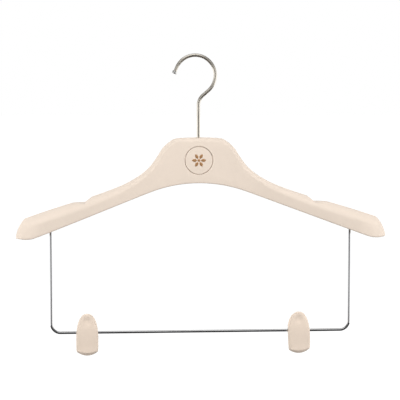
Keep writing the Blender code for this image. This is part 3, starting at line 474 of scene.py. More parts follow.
def moulded_plastic(name, base, roughness, grain_scale=1900.0):
    """Satin moulded plastic: faint flow clouds, fine mottling, spark-eroded grain and a painted highlight on
    convex edges.
    """
    finish = Finish(name)
    place = finish.place()
    clouds = finish.noise(place, scale=16.0, detail=3.0)
    mottle = finish.noise(place, scale=260.0, detail=3.0, roughness=0.6)
    grain = finish.noise(place, grain_scale, detail=1.0)
    tone = finish.spread(clouds * 0.65 + mottle * 0.35, low=0.32, high=0.68)
    colour_now = finish.mix(tone, shade_of(base, 0.972), shade_of(base, 1.022))
    # Painted highlight: convex edges are mixed towards a lighter shade of the base colour, standing in for
    # the light they catch.
    colour_now = finish.mix(finish.edges(low=0.515, high=0.60) * 0.35, colour_now, shade_of(base, 1.10))
    rubbed = finish.spread(finish.noise(place, scale=55.0, detail=4.0, roughness=0.65), low=0.55, high=0.75)
    finish.set(Base_Color=colour_now, Roughness=roughness + 0.10 * mottle - 0.10 * rubbed,
               Specular_IOR_Level=0.42, IOR=1.47)
    finish.bump(grain * 0.7 + mottle * 0.3, strength=0.10, distance=0.00012)
    return finish.material


def drawn_metal(name, base, roughness, streak):
    """Wire drawn through a die: streaks along its length, faint rings of wear and a plated colour."""
    finish = Finish(name)
    drawn = finish.drawn()
    streaks = finish.noise(finish.stretched(drawn, (2.6, 2.6, 0.05)), scale=3.0, detail=4.0, roughness=0.7)
    patches = finish.noise(finish.stretched(drawn, (0.5, 0.5, 0.12)), scale=1.0, detail=3.0)
    pores = finish.noise(finish.place(), scale=1400.0, detail=2.0)
    tone = finish.spread(streaks * 0.6 + patches * 0.4, low=0.30, high=0.70)
    finish.set(Base_Color=finish.mix(tone, shade_of(base, 0.95), shade_of(base, 1.03)),
               Roughness=roughness + streak * streaks + 0.05 * patches, Metallic=1.0)
    finish.bump(streaks * 0.7 + pores * 0.3, strength=0.03, distance=0.00004)
    return finish.material


def turned_metal(name, base, roughness):
    """Small turned and pressed metal: fine tool marks and patches of dulling."""
    finish = Finish(name)
    place = finish.place()
    marks = finish.noise(finish.stretched(place, (200.0, 200.0, 5200.0)), scale=1.0, detail=2.0)
    dull = finish.noise(place, scale=420.0, detail=3.0, roughness=0.6)
    finish.set(Base_Color=finish.mix(dull, shade_of(base, 0.80), shade_of(base, 1.08)),
               Roughness=roughness + 0.16 * dull + 0.06 * marks, Metallic=1.0)
    finish.bump(marks, strength=0.15, distance=0.00005)
    return finish.material


def grip_rubber(name, base):
    """Soft grip rubber: powdery mottling, moulding specks and lighter convex crests."""
    finish = Finish(name)
    place = finish.place()
    mottle = finish.noise(place, scale=520.0, detail=4.0, roughness=0.6)
    specks = finish.noise(place, scale=2600.0, detail=1.0)
    tone = finish.spread(mottle, low=0.3, high=0.7)
    colour_now = finish.mix(tone, shade_of(base, 0.90), shade_of(base, 1.08))
    # Convex crests and edges are mixed towards a lighter shade of the base colour.
    colour_now = finish.mix(finish.edges(low=0.52, high=0.62) * 0.5, colour_now, shade_of(base, 1.16))
    finish.set(Base_Color=colour_now, Roughness=0.78 + 0.12 * mottle, Specular_IOR_Level=0.3)
    finish.bump(mottle * 0.5 + specks * 0.5, strength=0.35, distance=0.0002)
    return finish.material


def foil_copper(name, base):
    """Hot-stamped copper foil: satin, with a faint crinkle and dulled patches."""
    finish = Finish(name)
    place = finish.place()
    crinkle = finish.noise(place, scale=1500.0, detail=3.0, roughness=0.6)
    dull = finish.noise(place, scale=300.0, detail=2.0)
    finish.set(Base_Color=finish.mix(dull, shade_of(base, 0.86), shade_of(base, 1.12)),
               Roughness=0.34 + 0.16 * crinkle, Metallic=0.55)
    finish.bump(crinkle, strength=0.2, distance=0.0001)
    return finish.material


def shaded(mesh):
    """Smooth faces, with sharp edges where they meet steeply."""
    mesh.shade_smooth()
    mesh.set_sharp_from_angle(angle=SHARP_ANGLE)
    return mesh


def flat_mesh(bm, name):
    """The mesh of a bmesh, which is used up."""
    mesh = bpy.data.meshes.new(name)
    bm.to_mesh(mesh)
    bm.free()
    return mesh


def solid_mesh(bm, name):
    """A smooth-shaded mesh whose faces point out."""
    bmesh.ops.recalc_face_normals(bm, faces=bm.faces[:])
    return shaded(flat_mesh(bm, name))


def welded_mesh(bm, name):
    """A solid mesh whose points that coincide are joined."""
    bmesh.ops.remove_doubles(bm, verts=bm.verts[:], dist=WELD_DISTANCE)
    return solid_mesh(bm, name)


def new_piece(name, mesh, material, matrix=None):
    """Links one finished piece to the scene."""
    mesh.name = name
    made = bpy.data.objects.new(name, mesh)
    bpy.context.scene.collection.objects.link(made)
    mesh.materials.clear()
    mesh.materials.append(material)
    if matrix is not None:
        made.matrix_world = matrix
    return made


def combined(base, tools, operation):
    """The base mesh with other meshes joined to it or cut out of it."""
    target = bpy.data.objects.new("base", base)
    bpy.context.scene.collection.objects.link(target)
    cutters = []
    for tool in tools:
        cutter = bpy.data.objects.new("cutter", tool)
        bpy.context.scene.collection.objects.link(cutter)
        step = target.modifiers.new("combine", "BOOLEAN")
        step.operation = operation
        step.object = cutter
        cutters.append(cutter)
    graph = bpy.context.evaluated_depsgraph_get()
    result = bpy.data.meshes.new_from_object(target.evaluated_get(graph))
    for helper in [target] + cutters:
        bpy.data.objects.remove(helper, do_unlink=True)
    return shaded(result)


def skin(bm, rings, closed=True):
    """Faces between rings of vertices that follow each other."""
    for here, there in zip(rings, rings[1:]):
        for i in range(len(here) if closed else len(here) - 1):
            k = (i + 1) % len(here)
            bm.faces.new((here[i], here[k], there[k], there[i]))


def quarter_turn(steps):
    """Angles from nought to a right angle."""
    return [math.radians(90) * i / steps for i in range(steps + 1)]


def lofted(rings, name):
    """A closed solid through rings of points, with its two ends filled."""
    bm = bmesh.new()
    rings = [[bm.verts.new(point) for point in ring] for ring in rings]
    skin(bm, rings)
    bm.faces.new(rings[0])
    bm.faces.new(rings[-1])
    return welded_mesh(bm, name)


def turned(profile, name, axis="Z", steps=FINE_STEPS, at=(0, 0, 0)):
    """A solid of revolution from (radius, height) points; with no point on the axis it is a ring."""
    turn = {"Z": Matrix.Identity(3), "X": Matrix(((0, 0, 1), (0, 1, 0), (-1, 0, 0))),
            "Y": Matrix(((1, 0, 0), (0, 0, 1), (0, -1, 0)))}[axis]
    bm = bmesh.new()
    rings = []
    for i in range(steps + 1):
        angle_now = 2 * math.pi * (i % steps + 1 / 2) / steps
        across, deep = math.cos(angle_now), math.sin(angle_now)
        points = [turn @ Vector((r * across, r * deep, h)) + Vector(at) for r, h in profile]
        rings.append([bm.verts.new(point) for point in points])
    skin(bm, rings, closed=profile[0][0] > 0)
    return welded_mesh(bm, name)


def rounded_corners(profile, radius, steps=CORNER_STEPS):
    """A profile whose corners that carry a radius mark are rounded: (across, height, share of the radius)."""
    points = []
    for i, (x, y, share) in enumerate(profile):
        here = Vector((x, y))
        if not share:
            points.append((x, y))
            continue
        before = Vector(profile[i - 1][:2])
        after = Vector(profile[(i + 1) % len(profile)][:2])
        start = here + (before - here).normalized() * radius * share
        end = here + (after - here).normalized() * radius * share
        for k in range(steps + 1):
            t = k / steps
            point = start * (1 - t) ** 2 + here * 2 * t * (1 - t) + end * t * t
            points.append((point.x, point.y))
    return points


def tube(points, diameter, name, sides=WIRE_SIDES, edge=0.0):
    """A round wire along points; its drawn attribute goes round and along it, for the metal's streaks."""
    points = [Vector(point) for point in points]
    ahead = [(b - a).normalized() for a, b in zip(points, points[1:])]
    tangents = [ahead[0]] + [(a + b).normalized() for a, b in zip(ahead, ahead[1:])] + [ahead[-1]]
    normal = tangents[0].orthogonal().normalized()
    bm = bmesh.new()
    layer = bm.verts.layers.float_vector.new("drawn")
    rings = []
    run = 0.0
    for i, (point, tangent) in enumerate(zip(points, tangents)):
        if i:
            normal = tangents[i - 1].rotation_difference(tangent) @ normal
            run += (point - points[i - 1]).length
        ring = []
        for k in range(sides):
            turn = 2 * math.pi * k / sides
            out = Quaternion(tangent, turn) @ normal
            vert = bm.verts.new(point + out * diameter / 2)
            vert[layer] = Vector((math.cos(turn), math.sin(turn), run / (diameter / 2)))
            ring.append(vert)
        rings.append(ring)
    skin(bm, rings)
    for end in (rings[0], rings[-1]):
        face = bm.faces.new(end)
        if edge:
            bmesh.ops.bevel(
                bm, geom=list(face.edges), offset=edge, segments=WIRE_EDGE_STEPS, affect="EDGES", profile=0.5)
    return solid_mesh(bm, name)


def rounded_route(corners, radii, steps):
    """Points along straight runs whose inner corners are turned into arcs."""
    corners = [Vector(c) for c in corners]
    points = [corners[0]]
    for before, here, after, radius in zip(corners, corners[1:], corners[2:], radii):
        back = (before - here).normalized()
        ahead = (after - here).normalized()
        half = back.angle(ahead) / 2
        centre = here + (back + ahead).normalized() * radius / math.sin(half)
        start = (here + back * radius / math.tan(half) - centre).normalized()
        end = (here + ahead * radius / math.tan(half) - centre).normalized()
        points += [centre + radius * start.slerp(end, i / steps) for i in range(steps + 1)]
    return points + [corners[-1]]


def smooth_line(points, at):
    """A smooth curve through (place, value) points, read at a place."""
    at = min(max(at, points[0][0]), points[-1][0])
    slopes = [(b[1] - a[1]) / (b[0] - a[0]) for a, b in zip(points, points[1:])]
    tangents = [slopes[0]] + [2 * a * b / (a + b) if a * b > 0 else 0.0 for a, b in zip(slopes, slopes[1:])]
    tangents.append(slopes[-1])
    i = max(k for k in range(len(points) - 1) if points[k][0] <= at)
    run = points[i + 1][0] - points[i][0]
    t = (at - points[i][0]) / run
    low, high = points[i][1], points[i + 1][1]
    return (
        low * (1 + 2 * t) * (1 - t) ** 2 + high * t * t * (3 - 2 * t)
        + run * (tangents[i] * t * (1 - t) ** 2 - tangents[i + 1] * t * t * (1 - t))
    )


def eased_ramp(run, slope, ease):
    """Zero up to the start, then a parabola over the ease, then a straight ramp."""
    if run <= 0:
        return 0.0
    if run < ease:
        return slope * run * run / (2 * ease)
    return slope * (run - ease / 2)


def ease_between(at, start, end):
    """Nought up to the start and one from the end on, with an eased rise between."""
    share = min(max((at - start) / (end - start), 0.0), 1.0)
    return share * share * (3 - 2 * share)


def soft_min(a, b, softness):
    """The lower of two heights, with a round corner where they cross."""
    near = max(softness - abs(a - b), 0.0) / softness
    return min(a, b) - near**3 * softness / 6


def soft_max(a, b, softness):
    """The higher of two heights, with a round corner where they cross."""
    return -soft_min(-a, -b, softness)


class BodyShape:
    """Outline, section and sweep of the moulded body."""

    def __init__(self, sizes):
        self.s = sizes
        tip_top = self.under_fall(sizes.half_span) - sizes.tip_edge_height
        run = sizes.half_span - sizes.tip_top_inset - sizes.neck_reach
        left = tip_top - sizes.neck_fall
        self.outline = [(a * sizes.neck_reach, b * sizes.neck_fall) for a, b in NECK_TOP_SHARES]
        self.outline += [(sizes.neck_reach + a * run, sizes.neck_fall + b * left) for a, b in ARM_TOP_SHARES]

    def bow(self, x):
        """How far the middle of the body lies in front of the shank."""
        return eased_ramp(abs(x) - self.s.bow_start, BOW_SHARE, self.s.bow_ease)

    def under_fall(self, reach):
        """How far the underside lies below the body's top; at the tip it levels out."""
        level_start = self.s.half_span - self.s.tip_ease
        fall = self.s.neck_height + eased_ramp(min(reach, level_start), UNDER_FALL_SHARE, self.s.under_ease)
        t = max(0.0, (reach - level_start) / self.s.tip_ease)
        rise = self.s.tip_ease * (UNDER_FALL_SHARE * t * (1 - t) ** 2 + TIP_TOE_LIFT_SHARE * t * t * (1 - t))
        return fall + self.s.tip_toe_drop * t * t * (3 - 2 * t) + rise

    def top_fall(self, reach):
        """How far the upper edge lies below the body's top."""
        return smooth_line(self.outline, reach)

    def top_stretch(self, reach):
        """Length of the upper edge for each length of reach."""
        step = self.s.half_span * SLOPE_STEP_SHARE
        return math.hypot(1.0, (self.top_fall(reach + step) - self.top_fall(reach - step)) / (2 * step))

    def half_depth(self, reach):
        """Half the depth, which grows from the neck to the shoulders."""
        growth = ease_between(reach, self.s.depth_start, self.s.depth_end)
        return (self.s.neck_depth + (self.s.shoulder_depth - self.s.neck_depth) * growth) / 2

    def rounding(self, reach):
        """Height of a rib's rounded top."""
        growth = ease_between(reach, self.s.depth_start, self.s.depth_end)
        level = self.s.neck_rounding + (self.s.shoulder_rounding - self.s.neck_rounding) * growth
        most = MOST_ROUNDING_SHARE * (self.under_fall(reach) - self.top_fall(reach))
        return min(level * self.top_stretch(reach), most)

    def notch_roof(self, reach):
        """How much lower the cavity's roof runs, so that the notch keeps a floor."""
        start, margin = self.s.notch_start, self.s.notch_margin
        end = start + self.s.notch_ramp + self.s.notch_floor
        inside = ease_between(reach, start - margin, start) * (1 - ease_between(reach, end, end + margin))
        return (self.s.notch_depth + self.s.wall / 2) * inside

    def notch_height(self, reach):
        """Height of the strap notch's ramp and floor."""
        foot = self.s.notch_start + self.s.notch_ramp
        floor = BODY_TOP - self.top_fall(foot) - self.s.notch_depth
        lip = BODY_TOP - self.top_fall(self.s.notch_start)
        ramp = floor + (lip - floor) * (foot - reach) / self.s.notch_ramp
        level = floor + self.s.notch_floor_rise * (reach - foot) / self.s.notch_floor
        return soft_max(ramp, level, 2 * self.s.notch_softness)

    def section(self, place, inset):
        """One rib: its top and bottom points, half depth, rounding share and bulge."""
        s = self.s
        tip_start = s.half_span - s.tip_length
        if place <= 1:
            reach = place * tip_start
            top_reach, closing, turn = reach, 1.0, 0.0
        else:
            angle_now = math.radians(90) * (place - 1)
            turn, closing = math.sin(angle_now), math.cos(angle_now)
            reach = tip_start + (s.tip_length - 2 * inset) * turn
            top_reach = tip_start + (s.tip_length - s.tip_top_inset - 2 * inset) * turn
        top, under = self.top_fall(top_reach), self.under_fall(reach)
        lowered = inset * self.top_stretch(top_reach) + (self.notch_roof(reach) if inset else 0.0)
        start = Vector((top_reach, 0, BODY_TOP - top - lowered))
        end = Vector((reach, 0, BODY_TOP - under + inset))
        deep = (self.half_depth(reach) - inset) * closing
        return start, end, deep, self.rounding(top_reach) / (under - top), s.tip_bulge * turn * turn

    def levels(self, deep, share, long, outer):
        """Shares of a rib's height against depths, from its top down its face and under it."""
        steps = OUTER_STEPS if outer else INNER_STEPS
        levels = [(share * (1 - math.cos(a)), deep * math.sin(a)) for a in quarter_turn(steps)]
        if not outer:
            return levels + [(1.0, deep), (1.0, 0.0)]
        fillet = min(self.s.under_fillet, deep / 2)
        foot = fillet / long
        levels += [(share + (1 - foot - share) * i / FACE_STEPS, deep) for i in range(1, FACE_STEPS)]
        levels += [(1 - foot + foot * math.sin(a), deep - fillet * (1 - math.cos(a)))
                   for a in quarter_turn(FILLET_STEPS)]
        return levels + [(1.0, (deep - fillet) / 2), (1.0, 0.0)]

    def rib(self, place, side, mirror, inset):
        """Points of one rib; the inset makes it the cavity's."""
        start, end, deep, share, bulge = self.section(place, inset)
        drop = end - start
        out = Vector((-drop.z, 0, drop.x)).normalized()
        parting = CLEARANCE / 2
        points = []
        for level, depth in self.levels(deep, share, drop.length, not inset):
            now = start + drop * level + out * (4 * bulge * level * (1 - level))
            height = now.z
            if not inset and place < 1:
                height = soft_min(height, self.notch_height(now.x), self.s.notch_softness)
            scaled = parting + depth * (1 - parting / self.half_depth(0))
            points.append(Vector((mirror * now.x, side * scaled - self.bow(now.x), height)))
        return points

    def places(self):
        """Places of the ribs: coarse along the arm, fine at the notch, and round the tip."""
        s = self.s
        tip_start = s.half_span - s.tip_length
        fine_start = s.notch_start - s.notch_margin / 2
        fine_end = min(s.notch_start + s.notch_ramp + s.notch_floor + 2 * s.notch_margin, tip_start)
        reach, places = 0.0, []
        while reach < tip_start - NOTCH_COLUMN_STEP / 2:
            places.append(reach / tip_start)
            reach += NOTCH_COLUMN_STEP if fine_start < reach < fine_end else COLUMN_STEP
        return places + [1 + i / TIP_COLUMNS for i in range(TIP_COLUMNS + 1)]

    def half(self, side, name):
        """One half of the hollow body, from tip to tip."""
        places = self.places()
        columns = [(p, -1) for p in reversed(places[1:])] + [(p, 1) for p in places]
        bm = bmesh.new()
        outer = [[bm.verts.new(v) for v in self.rib(p, side, m, 0.0)] for p, m in columns]
        inner = [[bm.verts.new(v) for v in self.rib(p, side, m, self.s.wall)] for p, m in columns]
        skin(bm, outer, closed=False)
        skin(bm, inner, closed=False)
        for end in (0, -1):
            for i in range(len(columns) - 1):
                bm.faces.new((outer[i][end], outer[i + 1][end], inner[i + 1][end], inner[i][end]))
            bm.faces.new(outer[end] + list(reversed(inner[end])))
        bmesh.ops.remove_doubles(bm, verts=bm.verts[:], dist=WELD_DISTANCE)
        bmesh.ops.dissolve_degenerate(bm, edges=bm.edges[:], dist=WELD_DISTANCE)
        return welded_mesh(bm, name)


def hook_route(s):
    """The hook's centre line, from the open end over the top and down the shank."""
    centre = Vector((-s.offset, 0, BODY_TOP + s.centre_rise))
    arc_end = centre + s.radius * Vector((math.cos(s.tip_angle), 0, math.sin(s.tip_angle)))
    points = [arc_end + s.end_length * Vector((-math.sin(s.tip_angle), 0, math.cos(s.tip_angle)))]
    for i in range(HOOK_ARC_STEPS + 1):
        a = s.tip_angle + (s.low_angle - s.tip_angle) * i / HOOK_ARC_STEPS
        points.append(centre + s.radius * Vector((math.cos(a), 0, math.sin(a))))
    heading = Vector((math.sin(s.low_angle), 0, -math.cos(s.low_angle)))
    bend = s.neck_radius * (1 - math.cos(s.low_angle))
    bend_start = points[-1] + heading * ((points[-1].x - bend) / -heading.x)
    bend_centre = Vector((s.neck_radius, 0, bend_start.z + s.neck_radius * math.sin(s.low_angle)))
    for i in range(HOOK_NECK_STEPS + 1):
        a = s.low_angle * (1 - i / HOOK_NECK_STEPS)
        points.append(bend_centre - s.neck_radius * Vector((math.cos(a), 0, math.sin(a))))
    return points + [Vector((0, 0, HOOK_FOOT))]


def rail_route(s, body):
    """The rail's centre line: foot, leg, rail, leg, foot."""
    reach = RAIL_HIGH.x - s.wire / 2
    depth = RAIL_LOW.y + s.wire / 2
    height = RAIL_LOW.z + s.wire / 2
    knee = Vector((reach, depth, BODY_TOP - body.under_fall(reach) + s.insert))
    foot = knee + Vector((-1.0, BOW_SHARE, UNDER_FALL_SHARE)).normalized() * s.foot
    right = [foot, knee, Vector((reach, depth, height))]
    left = [Vector((-p.x, p.y, p.z)) for p in right]
    bends = [s.leg_corner, s.corner, s.corner, s.leg_corner]
    return rounded_route(left + right[::-1], bends, RAIL_BEND_STEPS)


class JawShape:
    """Outline and faces of one clip's jaws, in the clip's own frame."""

    def __init__(self, s, rail_wire):
        self.s = s
        self.bore = rail_wire / 2 + CLEARANCE + s.sleeve / 2 * math.sin(abs(s.right_tilt))
        self.sleeve_radius = self.bore + s.sleeve_wall
        self.spring_radius = self.sleeve_radius + s.coil_gap + s.spring_wire / 2
        self.lever_inner = (self.spring_radius + s.spring_wire / 2 + CLEARANCE) / math.cos(s.lean)
        self.pad_face = CLEARANCE / 2
        self.pad_seat = self.pad_face + s.pad_thickness + CLEARANCE

    def size(self, side):
        """A jaw's width, its lever's rise and how far below the rail its arch starts."""
        s = self.s
        width, rise = (s.width, s.rise) if side == FRONT else (s.back_width, s.back_rise)
        return width, rise, JAW_ARCH_SINK_SHARE * rise

    def half_width(self, height, side):
        """Half the jaw's width at a height over the rail, or below it."""
        width, rise, sink = self.size(side)
        if height > -sink:
            level = (height + sink) / (rise + sink)
            return width / 2 * max(1 - level**JAW_ARCH_POWER, 0.0) ** (1 / JAW_ARCH_POWER)
        return width / 2 * (1 - JAW_CORNER_SHARE * (height / self.s.drop) ** JAW_CORNER_POWER)

    def rim_distance(self, height, across, side):
        """Distance from the jaw's outline, used for its rounded edge."""
        width, rise, sink = self.size(side)
        half = self.half_width(height, side)
        if height > -sink:
            level = (height + sink) / (rise + sink)
            wide = abs(across) * half / (width / 2)
            return width / 2 * (1 - (wide**JAW_ARCH_POWER + level**JAW_ARCH_POWER) ** (1 / JAW_ARCH_POWER))
        return half * (1 - abs(across))

    def dish(self, share, across):
        """Depth of the thumb dish."""
        up = (share - JAW_DISH_PLACE_SHARE) / JAW_DISH_REACH_SHARE
        from_middle = min(math.hypot(up, across / JAW_DISH_SPREAD_SHARE), 1.0)
        return self.s.dish * (1 + math.cos(math.pi * from_middle)) / 2

    def outer(self, height, across, side):
        """From the rail's axis to the jaw's outer face."""
        s = self.s
        share = height / (self.size(side)[1] if height > 0 else s.drop)
        face = s.belly * smooth_line(JAW_OUTER_SHARES, share) - self.dish(share, across)
        t = min(max(self.rim_distance(height, across, side) / s.edge, 0.0), 1.0)
        toe = min(max((-height - s.drop + s.toe_bevel) / s.toe_bevel, 0.0), 1.0)
        face -= s.edge_set_back * (1 - math.sqrt(1 - (1 - t) ** 2)) + s.toe_set_back * toe**JAW_TOE_POWER
        return max(face, self.inner(height) + 2 * CLEARANCE)

    def inner(self, height):
        """From the rail's axis to the jaw's inner face: lever, pad's seat and lip."""
        if height >= 0:
            return self.lever_inner + height * math.tan(self.s.lean)
        if height < -self.s.drop * JAW_LIP_SHARES[0]:
            return CLEARANCE
        return self.lever_inner + (self.pad_seat - self.lever_inner) * min(-height / self.s.knee_drop, 1.0)

    def ring(self, height, side):
        """One level of a jaw: across its outer face, and back along the inner one."""
        half = self.half_width(height, side)
        lift = self.s.corner_lift * max(0.0, -height / self.s.drop) ** JAW_LIFT_POWER
        turns = [math.radians(90) * (2 * i / JAW_ACROSS_STEPS - 1) for i in range(JAW_ACROSS_STEPS + 1)]
        across = [math.sin(turn) for turn in turns]
        points = [(a, self.outer(height, a, side)) for a in across]
        points += [(a, self.inner(height)) for a in across[::-JAW_INNER_STRIDE]]
        return [(a * half, side * depth, height + lift * a * a) for a, depth in points]

    def heights(self, side):
        """Levels of a jaw's rings: the toe's, the lip's two edges, the lower half's and the arch's."""
        s = self.s
        rise, sink = self.size(side)[1:]
        toe = [-s.drop + s.toe_bevel * (i / JAW_TOE_STEPS) for i in range(JAW_TOE_STEPS)]
        lip = [-s.drop * share for share in JAW_LIP_SHARES]
        start = -s.drop + s.toe_bevel
        lower = [start + (-sink - start) * i / JAW_LOWER_STEPS for i in range(JAW_LOWER_STEPS)]
        arch = [JAW_ARCH_TURN * i / JAW_ARCH_STEPS for i in range(JAW_ARCH_STEPS + 1)]
        return sorted(set(toe + lip + lower + [(rise + sink) * math.sin(a) - sink for a in arch]))

    def ear(self, side, place):
        """An ear round the sleeve, widening to its foot in the jaw."""
        s = self.s
        radius = self.lever_inner - 2 * CLEARANCE
        turns = [math.radians(-90 + 180 * i / EAR_STEPS) for i in range(EAR_STEPS + 1)]
        outline = [(-side * radius * math.cos(a), radius * math.sin(a)) for a in turns]
        for height in (s.ear_foot, -s.ear_foot):
            outline.append((side * (self.inner(height) + s.ear / 2), height))
        return lofted([[(place + end * s.ear / 2, y, z) for y, z in outline] for end in (-1, 1)], "ear")

    def jaw(self, side, ear_place, name):
        """One jaw with its two ears, bored for the sleeve."""
        plate = lofted([self.ring(height, side) for height in self.heights(side)], name)
        body = combined(plate, [self.ear(side, m * ear_place) for m in (-1, 1)], "UNION")
        hole = self.sleeve_radius + CLEARANCE
        reach = self.s.width
        bore = turned([(0, -reach), (hole, -reach), (hole, reach), (0, reach)], "bore", "X")
        return combined(body, [bore], "DIFFERENCE")

    def pad(self, side, name):
        """A grip pad with rounded ridges across it."""
        s = self.s
        half, back = s.pad_width / 2, self.pad_face + s.pad_thickness
        flat = half - CLEARANCE
        rings = []
        for i in range(PAD_RIDGES * PAD_RIDGE_STEPS + 1):
            t = i / PAD_RIDGE_STEPS
            face = self.pad_face + s.ridge * (1 + math.cos(2 * math.pi * t)) / 2
            z = -s.pad_top - (s.pad_bottom - s.pad_top) * t / PAD_RIDGES
            near, far, low = side * face, side * back, side * (face + CLEARANCE)
            outline = ((-flat, near), (flat, near), (half, low), (half, far), (-half, far), (-half, low))
            rings.append([(x, y, z) for x, y in outline])
        return lofted(rings, name)

    def slide(self, name):
        """The sleeve on the rail, with a collar at each end that stays clear of the ears."""
        s = self.s
        half, thick = s.sleeve / 2, s.sleeve_wall - CLEARANCE
        profile = [(self.bore, -half, 1), (s.collar / 2, -half, 1), (s.collar / 2, thick - half, 1),
                   (self.sleeve_radius, thick - half, 0), (self.sleeve_radius, half - thick, 0),
                   (s.collar / 2, half - thick, 1), (s.collar / 2, half, 1), (self.bore, half, 1)]
        return turned(rounded_corners(profile, thick * COLLAR_EDGE_SHARE), name, "X")

    def spring_route(self):
        """A leg up the front lever, the turns, and a leg up the back one."""
        s = self.s
        first, last = math.pi + s.lean, 2 * math.pi * SPRING_LAST_TURN - s.lean
        run = (s.spring_wire + s.turn_gap) * (last - first) / (2 * math.pi)
        count = round(SPRING_TURN_STEPS * (last - first) / (2 * math.pi))
        coil = []
        for i in range(count + 1):
            a = first + (last - first) * i / count
            coil.append(Vector((run * (i / count - 1 / 2), self.spring_radius * math.cos(a),
                                self.spring_radius * math.sin(a))))
        ends = [point + s.spring_leg * Vector((0, way * math.sin(s.lean), math.cos(s.lean)))
                for point, way in ((coil[0], -1), (coil[-1], 1))]
        return [ends[0]] + coil + [ends[1]]


def petal_outline(s):
    """Shares of a leaf-shaped petal's length, each with the petal's half width."""
    half = s.petal_width / 2
    shares = [i / PETAL_STEPS for i in range(PETAL_STEPS + 1)]
    return [(share, half * max(math.sin(math.pi * share), 0.0) ** PETAL_POWER) for share in shares]


def rosette(s, face):
    """Leaf-shaped petals and a bead, standing a little out of the disc."""
    middle = Vector((0, face, BADGE_CENTRE))
    fall = 1 - PETAL_RIM_SHARE
    bm = bmesh.new()
    for k in range(PETALS):
        turn = Quaternion((0, 1, 0), math.radians(360 / PETALS * (k + 1 / 2)))
        rows = []
        for share, half in petal_outline(s):
            out = s.petal_start + s.petal_length * share
            relief = s.relief if half > 0 else 0.0
            points = [(half * a, -relief * (1 - fall * a * a), out) for a in PETAL_ACROSS_SHARES]
            points += [(half, CLEARANCE, out), (-half, CLEARANCE, out)]
            rows.append([bm.verts.new(turn @ Vector(point) + middle) for point in points])
        skin(bm, rows)
    bmesh.ops.remove_doubles(bm, verts=bm.verts[:], dist=WELD_DISTANCE)
    bead = s.bead / 2
    dome = [(bead * math.cos(a), -s.relief * math.sin(a)) for a in quarter_turn(BEAD_STEPS)]
    bead_mesh = turned([(0, CLEARANCE), (bead, CLEARANCE)] + dome, "bead", "Y", FINE_STEPS // 2, middle)
    bm.from_mesh(bead_mesh)
    bpy.data.meshes.remove(bead_mesh)
    return welded_mesh(bm, "rosette")


class HangerPiece:
    """What the hanger's operators share."""

    bl_options = {"REGISTER", "UNDO"}

    @classmethod
    def poll(cls, context):
        return hasattr(context.scene, "trouser_hanger")

    def settle(self, name, mesh, material, body, node, slot, place=None):
        """Adds a piece that rides on a body in the stead of one of the frame's nodes."""
        piece = new_piece(name, mesh, material, place)
        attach(piece, body)
        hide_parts(node)


class HANGER_OT_body(HangerPiece, Operator):
    """Mould the two halves of the body, with notches, badge recess and holes"""

    bl_idname = "hanger.body"
    bl_label = "Body"

    def execute(self, context):
        s = context.scene.trouser_hanger
        shape = BodyShape(s.body)
        plastic = moulded_plastic("body_plastic", s.body.plastic, roughness=0.44)
        shank = s.hook.wire / 2 + 2 * CLEARANCE
        flare = shank + CLEARANCE
        top, foot = BODY_TOP + OVERRUN, BODY_TOP - SHANK_HOLE_WALLS * s.body.wall
        shank_hole = [(0, top), (flare + OVERRUN, top), (flare, BODY_TOP - CLEARANCE),
                      (shank, BODY_TOP - 2 * CLEARANCE), (shank, foot), (0, foot)]
        leg_reach = RAIL_HIGH.x - s.rail.wire / 2
        leg = s.rail.wire / 2 + CLEARANCE
        under = BODY_TOP - shape.under_fall(leg_reach)
        low, high = under - 3 * OVERRUN, under + s.rail.insert
        leg_hole = [(0, low), (leg, low), (leg, high), (0, high)]
        for side, name, node in ((FRONT, "front_half", "front_shell"), (BACK, "back_half", "back_shell")):
            holes = [turned(shank_hole, "shank_hole")]
            for mirror in (-1, 1):
                holes.append(turned(leg_hole, "leg_hole", at=(mirror * leg_reach, -shape.bow(leg_reach), 0)))
            half = combined(shape.half(side, name), holes, "DIFFERENCE")
            if side == FRONT:
                half = combined(half, [self.recess(s)], "DIFFERENCE")
            self.settle(name, half, plastic, "hanger", node, "shell_plastic")
        return {"FINISHED"}

    def recess(self, s):
        """The round recess that takes the badge disc, with a softened rim."""
        radius = BADGE_RADIUS + CLEARANCE
        face = BADGE_LOW.y
        floor = face + s.badge.thickness + CLEARANCE
        soft = s.badge.edge
        profile = [(0, floor), (radius, floor), (radius, face + soft), (radius + soft, face),
                   (radius + soft, face - OVERRUN), (0, face - OVERRUN)]
        return turned(profile, "recess", "Y", 2 * FINE_STEPS, (0, 0, BADGE_CENTRE))


class HANGER_OT_badge(HangerPiece, Operator):
    """Set the disc into the neck, with its copper rosette"""

    bl_idname = "hanger.badge"
    bl_label = "Badge"

    def execute(self, context):
        s = context.scene.trouser_hanger
        radius = BADGE_RADIUS - s.badge.gap
        face = BADGE_LOW.y
        back = face + s.badge.thickness
        end = back + s.badge.spigot_length
        spigot = s.badge.spigot_diameter / 2
        corners = [(0, face, 0), (radius, face, 1), (radius, back, 0), (spigot, back, 0), (spigot, end, 0),
                   (0, end, 0)]
        profile = rounded_corners(corners, s.badge.edge)
        disc = turned(profile, "badge_plate", "Y", 2 * FINE_STEPS, (0, 0, BADGE_CENTRE))
        plastic = bpy.data.materials["body_plastic"]
        self.settle("badge_plate", disc, plastic, "hanger", "badge_disc", "shell_plastic")
        copper = foil_copper("rosette_copper", s.badge.copper)
        ornament = new_piece("badge_rosette", rosette(s.badge, face), copper)
        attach(ornament, "hanger")
        return {"FINISHED"}


